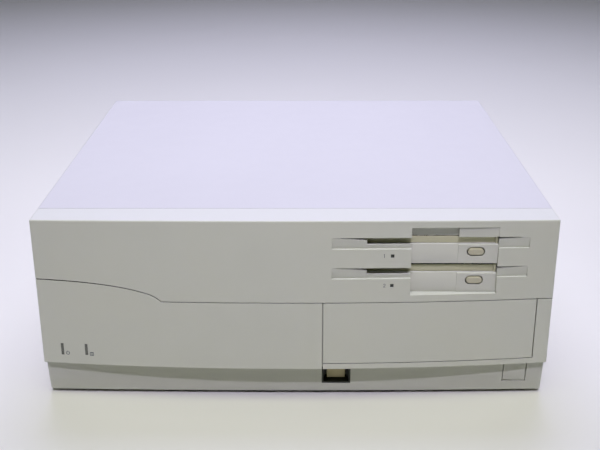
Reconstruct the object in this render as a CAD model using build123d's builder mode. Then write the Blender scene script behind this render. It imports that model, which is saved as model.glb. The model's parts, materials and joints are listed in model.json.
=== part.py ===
from build123d import *
import os

os.makedirs("parts", exist_ok=True)

# ---------------------------------------------------------------- driving dimensions (mm)
W = 401.2            # overall width
D = 335.0            # overall depth
H = 150.0            # overall height, feet included
FOOT_H = 3.0         # rubber foot height
HALF = W / 2
REAR_Y = D / 2
F = -142.0           # y of the top front edge at its ends; front features are given from here
STRIP = 21.0         # depth of the front shell's top strip and side returns
SKIN = 2.6           # front shell wall
SHEET = 1.2          # sheet metal
COVER_T = 1.5        # lid sheet with its paint
SEAM = 0.8           # gap between front panels
PANEL_Z = 32.0       # bottom edge of the front shell
SEAM_Z = 86.7        # straight seam between bezel and lower panels
SPLIT_X = 21.6       # vertical seam between indicator panel and file bay
BAY_X1 = 188.2       # right seam of the bay cover
BAY_Z0 = 36.9        # bottom seam of the bay cover

DRIVE_X = 104.0      # centre of the drives
DRIVE_W = 101.6      # width of a slim 3.5 inch drive
DRIVE_PITCH = 23.0   # height from one slim drive to the next
DRIVE_STEP = 3.0     # upper drive set back by this much
LOW_Z = 92.6         # bottom of the lower drive's fascia
SLOT_W = 98.2        # disk slot in a drive fascia

REC_X0, REC_X1 = 88.6, 154.95    # finger recess
REC_Z0, REC_Z1 = 92.4, 144.5

BTN_X, BTN_Z = 33.1, 17.8        # power button centre
COL_X = 124.7        # divides the left and right blocks in the finger recess
SPINDLE = 52.0       # spindle axis behind a drive's front


def quad(z, a, b, c):
    """Parabola through three (z, y) pairs."""
    (z1, y1), (z2, y2), (z3, y3) = a, b, c
    return (y1 * (z - z2) * (z - z3) / ((z1 - z2) * (z1 - z3))
            + y2 * (z - z1) * (z - z3) / ((z2 - z1) * (z2 - z3))
            + y3 * (z - z1) * (z - z2) / ((z3 - z1) * (z3 - z2)))


def centre_y(z):
    """Front surface at x = 0."""
    return quad(z, (150, F - 2.0), (86, F - 16.3), (33, F - 25.7))


def end_y(z):
    """Front surface at x = +-200."""
    return quad(z, (150, F), (86, F - 8.5), (33, F - 16.0))


def front_y(x, z):
    return centre_y(z) + (end_y(z) - centre_y(z)) * (x / 200.0) ** 2


def front_form(shift, half_w, y_back, z0, z1):
    """Solid behind the bowed, leaning front surface, moved back by shift."""
    with BuildPart() as form:
        for z in (26.0, 68.0, 112.0, 156.0):
            with BuildSketch(Plane.XY.offset(z)):
                with BuildLine():
                    yr = front_y(240.0, z) + shift
                    ThreePointArc((-240, yr), (0, centre_y(z) + shift), (240, yr))
                    Polyline((240, yr), (240, y_back + 1), (-240, y_back + 1), (-240, yr))
                make_face()
        loft()
        with Locations((0, (y_back - 200) / 2, (z0 + z1) / 2)):
            Box(2 * half_w, y_back + 200, z1 - z0, mode=Mode.INTERSECT)
    return form.part


def try_fillet(builder, edges, radius):
    """Round edges; if the whole set can't be rounded, round what can be, one by one."""
    if not len(edges):
        return
    try:
        fillet(edges, radius)
    except Exception:
        marks = [(e.center(), e.length) for e in edges]
        for c, ln in marks:
            found = [e for e in builder.edges()
                     if (e.center() - c).length < 0.05 and abs(e.length - ln) < 0.2]
            if found:
                try:
                    fillet(found[0], radius)
                except Exception:
                    pass


# ================================================================ front shell
# One closed-fronted tray; the bezel and the lower panels are cut from it, so that
# their faces run on from one to the next.
with BuildPart() as outer_form:
    add(front_form(0.0, HALF, F + STRIP, PANEL_Z, H))
    corner_edges = [e for e in outer_form.edges()
                    if abs(abs(e.center().X) - HALF) < 0.5 and e.center().Y < F + 5
                    and e.bounding_box().size.Z > 60]
    top_edges = [e for e in outer_form.edges()
                 if abs(e.center().Z - H) < 0.5 and e.center().Y < F + 5 and e.length > 300]
    side_edges = [e for e in outer_form.edges()
                  if abs(e.center().Z - H) < 0.5 and abs(abs(e.center().X) - HALF) < 0.5 and e.length < 40]
    try_fillet(outer_form, corner_edges + top_edges + side_edges, 1.4)
    low_edges = [e for e in outer_form.edges()
                 if abs(e.center().Z - PANEL_Z) < 0.3 and e.center().Y < F + 5 and e.length > 300]
    try_fillet(outer_form, low_edges, 0.6)

shell_inner = front_form(SKIN, HALF - SKIN, F + STRIP + 30, PANEL_Z + SKIN, H - SKIN)

with BuildPart() as shell:
    add(outer_form.part)
    add(shell_inner, mode=Mode.SUBTRACT)

env0 = front_form(0.0, HALF - 1.0, F + 40, 30.0, 149.0)
env_rebate = front_form(SKIN + 0.3, HALF - SKIN - 0.2, F + 40, 30.0, 147.0)
env_lip = front_form(SKIN + 2.3, HALF - SKIN - 0.2, F + 40, 30.0, 147.0)
env_skin = front_form(SKIN - 0.1, HALF - SKIN - 0.2, F + 40, 30.0, 147.0)

SEAM_PTS = [(-201.8, 102.75), (-192.3, 102.45), (-179.7, 102.0), (-167.2, 101.3), (-154.8, 100.25),
            (-142.4, 98.85), (-130.1, 96.9), (-117.9, 94.1), (-111.7, 92.2), (-107.4, 90.1),
            (-105.2, 88.55), (-103.0, SEAM_Z)]
SEAM_TANGENTS = [(1, -0.03), (1, -0.88)]


def seam_points(dz):
    return [(x, z + dz) for x, z in SEAM_PTS]


# ---------------------------------------------------------------- upper bezel
with BuildPart() as bezel_skin:
    add(shell.part)
    with BuildSketch(Plane.XZ):
        with BuildLine():
            up = seam_points(SEAM / 2)
            Spline(*up, tangents=SEAM_TANGENTS)
            Polyline(up[-1], (HALF + 1, SEAM_Z + SEAM / 2), (HALF + 1, H + 1), (up[0][0], H + 1), up[0])
        make_face()
    extrude(amount=250, both=True, mode=Mode.INTERSECT)
# lip behind the curved seam and the straight seam, as far as the file bay
with BuildPart() as bezel_lip:
    add(env_skin)
    with BuildSketch(Plane.XZ):
        with BuildLine():
            a = [(x, z + 5.0) for x, z in SEAM_PTS[1:]]
            b = [(x, z - 3.5) for x, z in SEAM_PTS[1:]]
            Polyline(*a, (SPLIT_X - 5.0, SEAM_Z + 5.0), (SPLIT_X - 5.0, SEAM_Z - 3.5), *reversed(b), a[0])
        make_face()
    extrude(amount=250, both=True, mode=Mode.INTERSECT)
    add(env_lip, mode=Mode.SUBTRACT)
with BuildPart() as lip_clear:
    # the part of the lip below the seam stands clear of the lower panel's back
    add(env_skin)
    with BuildSketch(Plane.XZ):
        with BuildLine():
            b1 = [(x, z + 0.3) for x, z in SEAM_PTS[1:]]
            Polyline(*b1, (SPLIT_X, SEAM_Z + 0.3), (SPLIT_X, SEAM_Z - 6), (-HALF, SEAM_Z - 6), b1[0])
        make_face()
    extrude(amount=250, both=True, mode=Mode.INTERSECT)
    add(env_rebate, mode=Mode.SUBTRACT)

# backing for the drive grooves, kept inside the front surface
GROOVES = [
    # z of top edge, z of ledge, back plane y at x=28 and at x=178.5, slot z0, slot z1
    (137.1, 128.4, F - 5.15, F - 2.45, 131.6, 136.95),
    (114.0, 105.5, F - 10.35, F - 5.85, 108.6, 113.9),
]
GX0, GX1 = 28.2, 178.4
SLOT_X0 = 54.9


def groove_y(g, x):
    return g[2] + (g[3] - g[2]) * (x - 28.0) / 150.5


with BuildPart() as groove_backing_1:
    g = GROOVES[0]
    with BuildSketch(Plane.XY.offset(g[1] - 1.4)):
        with BuildLine():
            Polyline((GX0 - 2, F - 30), (GX1 + 2, F - 30), (GX1 + 2, groove_y(g, GX1 + 2) + 1.4),
                     (GX0 - 2, groove_y(g, GX0 - 2) + 1.4), close=True)
        make_face()
    extrude(amount=g[0] - g[1] + 3.0)
    add(env0, mode=Mode.INTERSECT)
with BuildPart() as groove_backing_2:
    g = GROOVES[1]
    with BuildSketch(Plane.XY.offset(g[1] - 1.4)):
        with BuildLine():
            Polyline((GX0 - 2, F - 30), (GX1 + 2, F - 30), (GX1 + 2, groove_y(g, GX1 + 2) + 1.4),
                     (GX0 - 2, groove_y(g, GX0 - 2) + 1.4), close=True)
        make_face()
    extrude(amount=g[0] - g[1] + 3.0)
    add(env0, mode=Mode.INTERSECT)


def wedge(g, x_tip, x_deep):
    """Lead-in that grows from a point into the slot, both in height and in depth."""
    yt, yd = groove_y(g, x_tip), groove_y(g, x_deep)
    with BuildPart() as w:
        with BuildSketch(Plane.XY.offset(g[0] - 3.0)):
            with BuildLine():
                Polyline((x_tip, yt), (x_deep, yd + 2.8), (x_deep, yd - 8), (x_tip, yt - 8), close=True)
            make_face()
        extrude(amount=3.0)
        with BuildSketch(Plane.XZ):
            with BuildLine():
                Polyline((x_tip, g[0]), (x_deep, g[0]), (x_deep, g[0] - 2.0), close=True)
            make_face()
        extrude(amount=250, both=True, mode=Mode.INTERSECT)
    return w.part


# collar around the finger recess: from the front surface back to just before the drive faces
def recess_line(z):
    return F - 8.5 + 0.138 * (z - 92.0)


with BuildPart() as recess_collar:
    add(env0)
    with BuildSketch(Plane.XZ):
        with Locations(((REC_X0 + REC_X1) / 2, (REC_Z0 + REC_Z1) / 2)):
            Rectangle(REC_X1 - REC_X0 + 4.0, REC_Z1 - REC_Z0 + 4.0)
    extrude(amount=250, both=True, mode=Mode.INTERSECT)
    with BuildSketch(Plane.YZ.offset(REC_X0 - 10)):
        with BuildLine():
            Polyline((F - 40, REC_Z0 - 3), (F - 3.5, REC_Z0 - 3), (F - 3.5, REC_Z0),
                     (recess_line(REC_Z0), REC_Z0), (recess_line(136.7), 136.7), (F + 2.6, 136.7),
                     (F + 2.6, REC_Z1 + 3), (F - 40, REC_Z1 + 3), close=True)
        make_face()
    extrude(amount=100, mode=Mode.INTERSECT)

with BuildPart() as recess_cut:
    # open all through below the top strip
    with Locations(((REC_X0 + REC_X1) / 2, F, (REC_Z0 + 136.7) / 2)):
        Box(REC_X1 - REC_X0, 80, 136.7 - REC_Z0)
    # top strip, left: set back; right: less deep
    with BuildSketch(Plane.YZ.offset(REC_X0)):
        with BuildLine():
            Polyline((F - 40, 136.0), (F + 1.6, 136.0), (F + 1.6, REC_Z1), (F - 40, REC_Z1), close=True)
        make_face()
    extrude(amount=COL_X - REC_X0)
    with BuildSketch(Plane.YZ.offset(COL_X)):
        with BuildLine():
            Polyline((F - 40, 136.0), (F - 2.2, 136.0), (F - 1.3, REC_Z1), (F - 40, REC_Z1), close=True)
        make_face()
    extrude(amount=REC_X1 - COL_X)

LAMP_XZ = [(74.4, 123.2), (74.4, 100.2)]

with BuildPart() as front_bezel:
    add(bezel_skin.part)
    add(bezel_lip.part)
    add(lip_clear.part, mode=Mode.SUBTRACT)
    add(groove_backing_1.part)
    add(groove_backing_2.part)
    add(recess_collar.part)
    for g in GROOVES:
        with BuildSketch(Plane.XY.offset(g[1])):
            with BuildLine():
                Polyline((GX0, F - 40), (GX1, F - 40), (GX1, groove_y(g, GX1)), (GX0, groove_y(g, GX0)), close=True)
            make_face()
        extrude(amount=g[0] - g[1], mode=Mode.SUBTRACT)
        add(wedge(g, GX0 + 0.6, SLOT_X0 + 0.01), mode=Mode.SUBTRACT)
        add(wedge(g, GX1 - 0.6, 2 * DRIVE_X - SLOT_X0), mode=Mode.SUBTRACT)
        with Locations(((SLOT_X0 + REC_X0 + 2) / 2, F, (g[4] + g[5]) / 2)):
            Box(REC_X0 + 2 - SLOT_X0, 60, g[5] - g[4], mode=Mode.SUBTRACT)
    add(recess_cut.part, mode=Mode.SUBTRACT)
    for x, z in LAMP_XZ:
        with Locations((x, F - 8, z)):
            Box(2.8, 30, 2.8, mode=Mode.SUBTRACT)
    # tongue under the lid's front edge
    with BuildSketch(Plane.XZ.offset(-(F + STRIP - 3))):
        with Locations((0, (SEAM_Z + H - SKIN) / 2 + 8)):
            Rectangle(W - 2 * SKIN, H - SKIN - SEAM_Z - 16)
        with Locations((0, (SEAM_Z + H - SKIN) / 2 + 6)):
            Rectangle(W - 2 * SKIN - 3.2, H - SKIN - SEAM_Z - 12 - 3.2, mode=Mode.SUBTRACT)
    extrude(amount=-7.0)

front_bezel.part.label = "front_bezel"
export_step(front_bezel.part, "parts/front_bezel.step")

# ---------------------------------------------------------------- lower left indicator panel
LAMP_BARS = [(-184.2, 44.6, 2.0, 9.6), (-164.9, 45.0, 2.0, 9.2)]   # x, z, width, height
with BuildPart() as indicator_panel:
    add(shell.part)
    with BuildSketch(Plane.XZ):
        with BuildLine():
            lo = seam_points(-SEAM / 2)
            Spline(*lo, tangents=SEAM_TANGENTS)
            Polyline(lo[-1], (SPLIT_X - SEAM / 2, SEAM_Z - SEAM / 2), (SPLIT_X - SEAM / 2, PANEL_Z - 1),
                     (lo[0][0], PANEL_Z - 1), lo[0])
        make_face()
    extrude(amount=250, both=True, mode=Mode.INTERSECT)
    for x, z, w, h in LAMP_BARS:
        with Locations((x, F - 10, z)):
            Box(w + 0.2, 30, h + 0.2, mode=Mode.SUBTRACT)
indicator_panel.part.label = "indicator_panel"
export_step(indicator_panel.part, "parts/indicator_panel.step")

# ---------------------------------------------------------------- frame round the file bay's cover
BAY_IN = (28.0, 182.0, 42.0, 83.0)      # clear opening of the frame: x0, x1, z0, z1
with BuildPart() as bay_frame_skin:
    add(shell.part)
    with BuildSketch(Plane.XZ):
        with BuildLine():
            Polyline((SPLIT_X + SEAM / 2, PANEL_Z - 1), (HALF + 1, PANEL_Z - 1), (HALF + 1, SEAM_Z - SEAM / 2),
                     (BAY_X1 + SEAM / 2, SEAM_Z - SEAM / 2), (BAY_X1 + SEAM / 2, BAY_Z0 - SEAM / 2),
                     (SPLIT_X + SEAM / 2, BAY_Z0 - SEAM / 2), close=True)
        make_face()
    extrude(amount=250, both=True, mode=Mode.INTERSECT)
with BuildPart() as bay_ring:
    add(env_rebate)
    with BuildSketch(Plane.XZ):
        with Locations(((17.0 + HALF - SKIN) / 2, (PANEL_Z + SKIN + 90.0) / 2)):
            Rectangle(HALF - SKIN - 17.0, 90.0 - PANEL_Z - SKIN)
        with Locations(((BAY_IN[0] + BAY_IN[1]) / 2, (BAY_IN[2] + BAY_IN[3]) / 2)):
            Rectangle(BAY_IN[1] - BAY_IN[0], BAY_IN[3] - BAY_IN[2], mode=Mode.SUBTRACT)
    extrude(amount=250, both=True, mode=Mode.INTERSECT)
    add(env_lip, mode=Mode.SUBTRACT)
with BuildPart() as bay_frame:
    add(bay_frame_skin.part)
    add(bay_ring.part)
    # ribs tie the ring to the skin below and beside the cover
    for x in (30.0, 80.0, 130.0, 180.0):
        with Locations((x, F - 19.5 + 4.5 * (x / 200.0) ** 2 * 2, PANEL_Z + 2.6)):
            Box(1.6, 6.0, 1.6)
bay_frame.part.label = "bay_frame"
export_step(bay_frame.part, "parts/bay_frame.step")

# ---------------------------------------------------------------- pull-off cover of the file bay
with BuildPart() as bay_cover_skin:
    add(shell.part)
    with BuildSketch(Plane.XZ):
        with BuildLine():
            Polyline((SPLIT_X + SEAM / 2, BAY_Z0 + SEAM / 2), (BAY_X1 - SEAM / 2, BAY_Z0 + SEAM / 2),
                     (BAY_X1 - SEAM / 2, SEAM_Z - SEAM / 2), (SPLIT_X + SEAM / 2, SEAM_Z - SEAM / 2), close=True)
        make_face()
    extrude(amount=250, both=True, mode=Mode.INTERSECT)
with BuildPart() as cover_rim:
    add(env_skin)
    with BuildSketch(Plane.XZ):
        with Locations(((BAY_IN[0] + BAY_IN[1]) / 2, (BAY_IN[2] + BAY_IN[3]) / 2)):
            Rectangle(BAY_IN[1] - BAY_IN[0] - 1.0, BAY_IN[3] - BAY_IN[2] - 1.0)
            Rectangle(BAY_IN[1] - BAY_IN[0] - 4.2, BAY_IN[3] - BAY_IN[2] - 4.2, mode=Mode.SUBTRACT)
    extrude(amount=250, both=True, mode=Mode.INTERSECT)
    with Locations((105, F + 45.5, 60)):
        Box(240, 100, 100, mode=Mode.SUBTRACT)
with BuildPart() as bay_cover:
    add(bay_cover_skin.part)
    add(cover_rim.part)
    # two sprung tabs that grip the frame from behind the rim
    for x, s in ((BAY_IN[0] + 0.5, -1), (BAY_IN[1] - 0.5, 1)):
        with Locations((x - s * 0.8, F - 2.0, 62.0)):
            Box(1.6, 10.0, 12.0)
bay_cover.part.label = "bay_cover"
export_step(bay_cover.part, "parts/bay_cover.step")

# ---------------------------------------------------------------- plinth
PL_HALF = 200.2
PL_MID, PL_END = F - 14.7, F - 12.3
PL_T = 2.5
PL_TOP = PANEL_Z - 0.3
FR_X0, FR_X1, FR_Z0, FR_Z1 = 21.5, 44.7, 10.6, 27.0       # power button surround
FL_X0, FL_X1, FL_Z0, FL_Z1 = 167.3, 186.5, 11.6, 29.8     # opening for the small flap
FLAP_PIVOT = (F - 11.4, 13.4)                             # y, z of its hinge line


def plinth_y(x):
    return PL_MID + (PL_END - PL_MID) * (x / PL_HALF) ** 2


with BuildPart() as plinth_block:
    with BuildSketch(Plane.XY.offset(FOOT_H)):
        with BuildLine():
            ThreePointArc((-PL_HALF, PL_END), (0, PL_MID), (PL_HALF, PL_END))
            Polyline((PL_HALF, PL_END), (PL_HALF, F + STRIP), (-PL_HALF, F + STRIP), (-PL_HALF, PL_END))
        make_face()
    extrude(amount=PL_TOP - FOOT_H)
    try_fillet(plinth_block, [e for e in plinth_block.edges().filter_by(Axis.Z) if e.center().Y < F], 2.4)
    try_fillet(plinth_block, [e for e in plinth_block.edges()
                              if abs(e.center().Z - FOOT_H) < 0.01 and e.center().Y < F + 15
                              and e.bounding_box().min.Y < F + 5], 1.0)
with BuildPart() as plinth:
    add(plinth_block.part)
    with BuildSketch(Plane.XY.offset(FOOT_H - 1)):
        with BuildLine():
            ThreePointArc((-PL_HALF + PL_T, PL_END + PL_T), (0, PL_MID + PL_T), (PL_HALF - PL_T, PL_END + PL_T))
            Polyline((PL_HALF - PL_T, PL_END + PL_T), (PL_HALF - PL_T, F + STRIP + 5),
                     (-PL_HALF + PL_T, F + STRIP + 5), (-PL_HALF + PL_T, PL_END + PL_T))
        make_face()
    extrude(amount=40, mode=Mode.SUBTRACT)
    # housing behind the flap
    with Locations(((FL_X0 + FL_X1) / 2, F - 2.5, (FL_Z0 + FL_Z1) / 2)):
        Box(FL_X1 - FL_X0 + 3.2, 17.0, FL_Z1 - FL_Z0 + 3.2)
    with Locations(((FL_X0 + FL_X1) / 2, F - 4.6 - 20, (FL_Z0 + FL_Z1) / 2)):
        Box(FL_X1 - FL_X0, 18.0 + 40, FL_Z1 - FL_Z0, mode=Mode.SUBTRACT)
    # hole for the reset button in the housing's back wall
    with BuildSketch(Plane.XZ.offset(-(F + 2))):
        with Locations((177.0, 21.0)):
            Circle(3.2)
    extrude(amount=-6, mode=Mode.SUBTRACT)
    # pin holes for the flap
    with BuildSketch(Plane.YZ.offset(FL_X0 - 1.6)):
        with Locations(FLAP_PIVOT):
            Circle(0.85)
    extrude(amount=FL_X1 - FL_X0 + 3.2, mode=Mode.SUBTRACT)
    # opening for the power button's surround
    with Locations(((FR_X0 + FR_X1) / 2, F - 12, (FR_Z0 + FR_Z1) / 2)):
        Box(FR_X1 - FR_X0, 20, FR_Z1 - FR_Z0, mode=Mode.SUBTRACT)
plinth.part.label = "plinth"
export_step(plinth.part, "parts/plinth.step")

# ---------------------------------------------------------------- small flap in the plinth
with BuildPart() as front_flap:
    add(plinth_block.part)
    with Locations(((FL_X0 + FL_X1) / 2, F - 12.0, (12.0 + 29.4) / 2)):
        Box(FL_X1 - FL_X0 - 1.5, 12.0, 29.4 - 12.0, mode=Mode.INTERSECT)
    with Locations(((FL_X0 + FL_X1) / 2, F - 10.65 + 10, 21)):
        Box(30, 20, 40, mode=Mode.SUBTRACT)
    # rounded foot about the hinge line
    with BuildSketch(Plane.YZ.offset(FL_X0 - 5)):
        with Locations((FLAP_PIVOT[0], FLAP_PIVOT[1] - 1.3)):
            Rectangle(6, 2.6)
        with Locations(FLAP_PIVOT):
            Circle(1.35, mode=Mode.SUBTRACT)
    extrude(amount=40, mode=Mode.SUBTRACT)
    with BuildSketch(Plane.YZ.offset(FL_X0 - 1.4)):
        with Locations(FLAP_PIVOT):
            Circle(0.8)
    extrude(amount=FL_X1 - FL_X0 + 2.8)
front_flap.part.label = "front_flap"
export_step(front_flap.part, "parts/front_flap.step")

# ---------------------------------------------------------------- reset button and its switch
with BuildPart() as reset_button:
    with BuildSketch(Plane.XZ.offset(-(F + 1.2))):
        with Locations((177.0, 21.0)):
            Circle(3.0)
    extrude(amount=-5.4)
    fillet(reset_button.faces().sort_by(Axis.Y)[0].edges(), 0.5)
    # collar behind the housing's wall, and the stem that reaches for the switch key
    with BuildSketch(Plane.XZ.offset(-(F + 6.1))):
        with Locations((177.0, 21.0)):
            Circle(4.0)
    extrude(amount=-1.0)
    with BuildSketch(Plane.XZ.offset(-(F + 6.6))):
        with Locations((177.0, 21.0)):
            Circle(1.5)
    extrude(amount=-2.4)
reset_button.part.label = "reset_button"
export_step(reset_button.part, "parts/reset_button.step")

with BuildPart() as reset_switch:
    # small board screwed behind the housing with a square key switch on it
    with Locations((177.0, F + 16.8, 21.0)):
        Box(20.0, 1.6, 18.0)
    with Locations((177.0, F + 13.5, 21.0)):
        Box(7.0, 5.0, 7.0)
    for x in (169.0, 185.0):
        with Locations((x, F + 11.0, 13.6), (x, F + 11.0, 28.4)):
            Box(2.4, 10.0, 2.4)
reset_switch.part.label = "reset_switch"
export_step(reset_switch.part, "parts/reset_switch.step")

# ---------------------------------------------------------------- power button, surround, rod, switch
with BuildPart() as power_button_frame:
    with Locations(((FR_X0 + FR_X1) / 2, F - 14.35 + 5.0, (FR_Z0 + FR_Z1) / 2)):
        Box(FR_X1 - FR_X0 - 0.1, 10.0, FR_Z1 - FR_Z0 - 0.1)
    with Locations((33.1, F - 14.35 + 3.1, 18.8)):
        Box(20.4, 6.2, 13.6, mode=Mode.SUBTRACT)
    fillet(power_button_frame.faces().sort_by(Axis.Y)[0].inner_wires()[0].edges(), 0.5)
    with Locations((BTN_X, F - 4.0, BTN_Z)):
        Box(17.0, 20.0, 12.0, mode=Mode.SUBTRACT)
power_button_frame.part.label = "power_button_frame"
export_step(power_button_frame.part, "parts/power_button_frame.step")

with BuildPart() as power_button:
    with Locations((BTN_X, F - 9.8 + 6.0, BTN_Z)):
        Box(15.0, 12.0, 10.0)
    fillet(power_button.edges().filter_by(Axis.Y), 0.8)
    fillet(power_button.faces().sort_by(Axis.Y)[0].edges(), 0.5)
power_button.part.label = "power_button"
export_step(power_button.part, "parts/power_button.step")

ROD_Y1 = 66.0
SW_Y0, SW_Y1 = 64.0, 84.0
with BuildPart() as power_push_rod:
    with Locations((BTN_X, (F + 2.2 + ROD_Y1 - 10) / 2, BTN_Z)):
        Box(5.0, ROD_Y1 - 10 - F - 2.2, 5.0)
    with BuildSketch(Plane.XZ.offset(-(ROD_Y1 - 10))):
        with Locations((BTN_X, BTN_Z)):
            Circle(2.0)
    extrude(amount=-16.0)
power_push_rod.part.label = "power_push_rod"
export_step(power_push_rod.part, "parts/power_push_rod.step")

with BuildPart() as power_switch:
    with Locations((BTN_X, (SW_Y0 + SW_Y1) / 2, BTN_Z)):
        Box(14.0, SW_Y1 - SW_Y0, 16.0)
    fillet(power_switch.edges().filter_by(Axis.Y), 1.0)
    with BuildSketch(Plane.XZ.offset(-(SW_Y0 - 1))):
        with Locations((BTN_X, BTN_Z)):
            Circle(2.1)
    extrude(amount=-14.0, mode=Mode.SUBTRACT)
    with Locations((BTN_X - 4, SW_Y1 + 2.0, BTN_Z + 4), (BTN_X + 4, SW_Y1 + 2.0, BTN_Z + 4),
                   (BTN_X - 4, SW_Y1 + 2.0, BTN_Z - 4), (BTN_X + 4, SW_Y1 + 2.0, BTN_Z - 4)):
        Box(0.8, 4.0, 3.0)
power_switch.part.label = "power_switch"
export_step(power_switch.part, "parts/power_switch.step")

# ================================================================ case
LID_Y0 = F + STRIP + 0.4
with BuildPart() as top_cover:
    with Locations((0, (LID_Y0 + REAR_Y) / 2, (4.0 + H) / 2)):
        Box(W, REAR_Y - LID_Y0, H - 4.0)
    fillet([e for e in top_cover.edges().filter_by(Axis.Y) if e.center().Z > H - 1], 1.4)
    with Locations((0, (LID_Y0 + REAR_Y) / 2, (4.0 + H - COVER_T) / 2 - 1)):
        Box(W - 2 * COVER_T, REAR_Y - LID_Y0 + 10, H - 4.0 - COVER_T + 2, mode=Mode.SUBTRACT)
    # rear hem that laps over the rear panel
    with BuildSketch(Plane.XZ.offset(-163.3)):
        with Locations((0, (4.0 + H - COVER_T) / 2)):
            Rectangle(W - 2 * COVER_T, H - 4.0 - COVER_T)
        with Locations((0, (4.0 + 137.0) / 2 - 2)):
            Rectangle(W - 2 * COVER_T - 24.0, 137.0, mode=Mode.SUBTRACT)
    extrude(amount=-SHEET)
    # screw holes in the hem
    with BuildSketch(Plane.XZ.offset(-160.0)):
        with Locations((-150, 142.5), (150, 142.5), (-192.5, 60.0), (192.5, 60.0)):
            Circle(1.7)
    extrude(amount=-8.0, mode=Mode.SUBTRACT)
    # vent slots low in both sides
    with BuildSketch(Plane.YZ.offset(-HALF - 5)):
        with Locations((95.0, 40.0)):
            with GridLocations(9.0, 34.0, 12, 2):
                SlotOverall(26.0, 3.2, rotation=90)
    extrude(amount=2 * HALF + 10, mode=Mode.SUBTRACT)
top_cover.part.label = "top_cover"
export_step(top_cover.part, "parts/top_cover.step")

FEET = [(-172.0, -128.0), (172.0, -128.0), (-172.0, 140.0), (172.0, 140.0)]
POSTS = [(-180.0, -88.0), (-84.0, -88.0), (10.0, -88.0), (-180.0, 40.0), (-84.0, 40.0), (10.0, 40.0),
         (-180.0, 146.0), (10.0, 146.0)]
BOARD_Z = 12.0
with BuildPart() as base_pan:
    with Locations((0, (F - 8 + 161.9) / 2, FOOT_H + SHEET / 2)):
        Box(392.0, 161.9 - F + 8, SHEET)
    for s in (-1, 1):
        with Locations((s * 197.8, (F + STRIP + 4 + 161.9) / 2, FOOT_H + 10.0)):
            Box(SHEET, 161.9 - F - STRIP - 4, 20.0)
        with Locations((s * 196.8, (F + STRIP + 4 + 161.9) / 2, FOOT_H + SHEET / 2)):
            Box(3.2, 161.9 - F - STRIP - 4, SHEET)
    # posts under the main board
    with BuildSketch(Plane.XY.offset(FOOT_H + SHEET / 2)):
        with Locations(*POSTS):
            Circle(3.0)
    extrude(amount=BOARD_Z - FOOT_H - SHEET / 2)
    # two guides for the power rod
    for y in (-70.0, 20.0):
        with Locations((BTN_X, y, 13.0)):
            Box(12.0, 6.0, 18.0)
        with Locations((BTN_X, y, BTN_Z)):
            Box(5.7, 8.0, 5.7, mode=Mode.SUBTRACT)
    # cooling slots in the floor
    with BuildSketch(Plane.XY.offset(FOOT_H - 1)):
        with Locations((100.0, -30.0)):
            with GridLocations(10.0, 44.0, 10, 2):
                SlotOverall(34.0, 3.4, rotation=90)
    extrude(amount=3.5, mode=Mode.SUBTRACT)
    # a front flange that carries the plinth
    with Locations((-90.0, F - 7.4, FOOT_H + 8.0)):
        Box(200.0, SHEET, 16.0)
base_pan.part.label = "base_pan"
export_step(base_pan.part, "parts/base_pan.step")

with BuildPart() as rubber_feet:
    with BuildSketch(Plane.XY):
        with Locations(*FEET):
            Circle(9.0)
    extrude(amount=FOOT_H)
    fillet(rubber_feet.faces().filter_by(Axis.Z).group_by(Axis.Z)[0].edges(), 0.8)
rubber_feet.part.label = "rubber_feet"
export_step(rubber_feet.part, "parts/rubber_feet.step")

# ---------------------------------------------------------------- rear panel
FAN_X, FAN_Z = 138.0, 92.0
CARD_Z = (62.0, 87.0, 112.0)      # expansion slots
CARD_X = -100.0
with BuildPart() as rear_panel:
    with Locations((0, 162.6, (FOOT_H + SHEET + 148.3) / 2)):
        Box(396.0, SHEET, 148.3 - FOOT_H - SHEET)
    # fan grille: rings of slots
    with BuildSketch(Plane.XZ.offset(-160.0)):
        for z in range(-4, 5):
            half = (36.0 ** 2 - (z * 8.0) ** 2) ** 0.5
            with Locations((FAN_X, FAN_Z + z * 8.0)):
                SlotOverall(2 * half, 4.6)
        with Locations((FAN_X, FAN_Z)):
            Rectangle(3.0, 90.0, mode=Mode.SUBTRACT)
            Rectangle(3.0, 90.0, rotation=60, mode=Mode.SUBTRACT)
            Rectangle(3.0, 90.0, rotation=120, mode=Mode.SUBTRACT)
        with Locations(*[(FAN_X + sx * 35.75, FAN_Z + sz * 35.75) for sx in (-1, 1) for sz in (-1, 1)]):
            Circle(1.7)
        # mains inlet, whose screw flange covers a clearance hole, and outlet
        with Locations((58.0, 112.0)):
            Rectangle(35.4, 28.0)
        with Locations((58.0, 74.0)):
            Rectangle(27.4, 24.4)
        # expansion slots
        with Locations(*[(CARD_X, z) for z in CARD_Z]):
            Rectangle(148.0, 18.0)
        with Locations(*[(CARD_X + s * 78.0, z) for s in (-1, 1) for z in CARD_Z]):
            Circle(1.7)
        # ports of the main board
        with Locations((-170.0, 20.6)):
            Rectangle(31.0, 11.0)
        with Locations((-118.0, 20.6)):
            Rectangle(54.0, 11.4)
        with Locations((-60.0, 20.6)):
            Rectangle(40.0, 11.0)
        with Locations((-22.0, 21.0), (0.0, 21.0)):
            Circle(7.3)
        # lid screws
        with Locations((-150, 142.5), (150, 142.5), (-192.5, 60.0), (192.5, 60.0)):
            Circle(1.7)
        # air slots beside the fan and below it
        with Locations((112.0, 28.0)):
            with GridLocations(8.0, 1.0, 16, 1):
                SlotOverall(22.0, 3.6, rotation=90)
    extrude(amount=-6.0, mode=Mode.SUBTRACT)
rear_panel.part.label = "rear_panel"
export_step(rear_panel.part, "parts/rear_panel.step")


def slot_covers_xz():
    return [(CARD_X, z) for z in CARD_Z]


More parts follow.
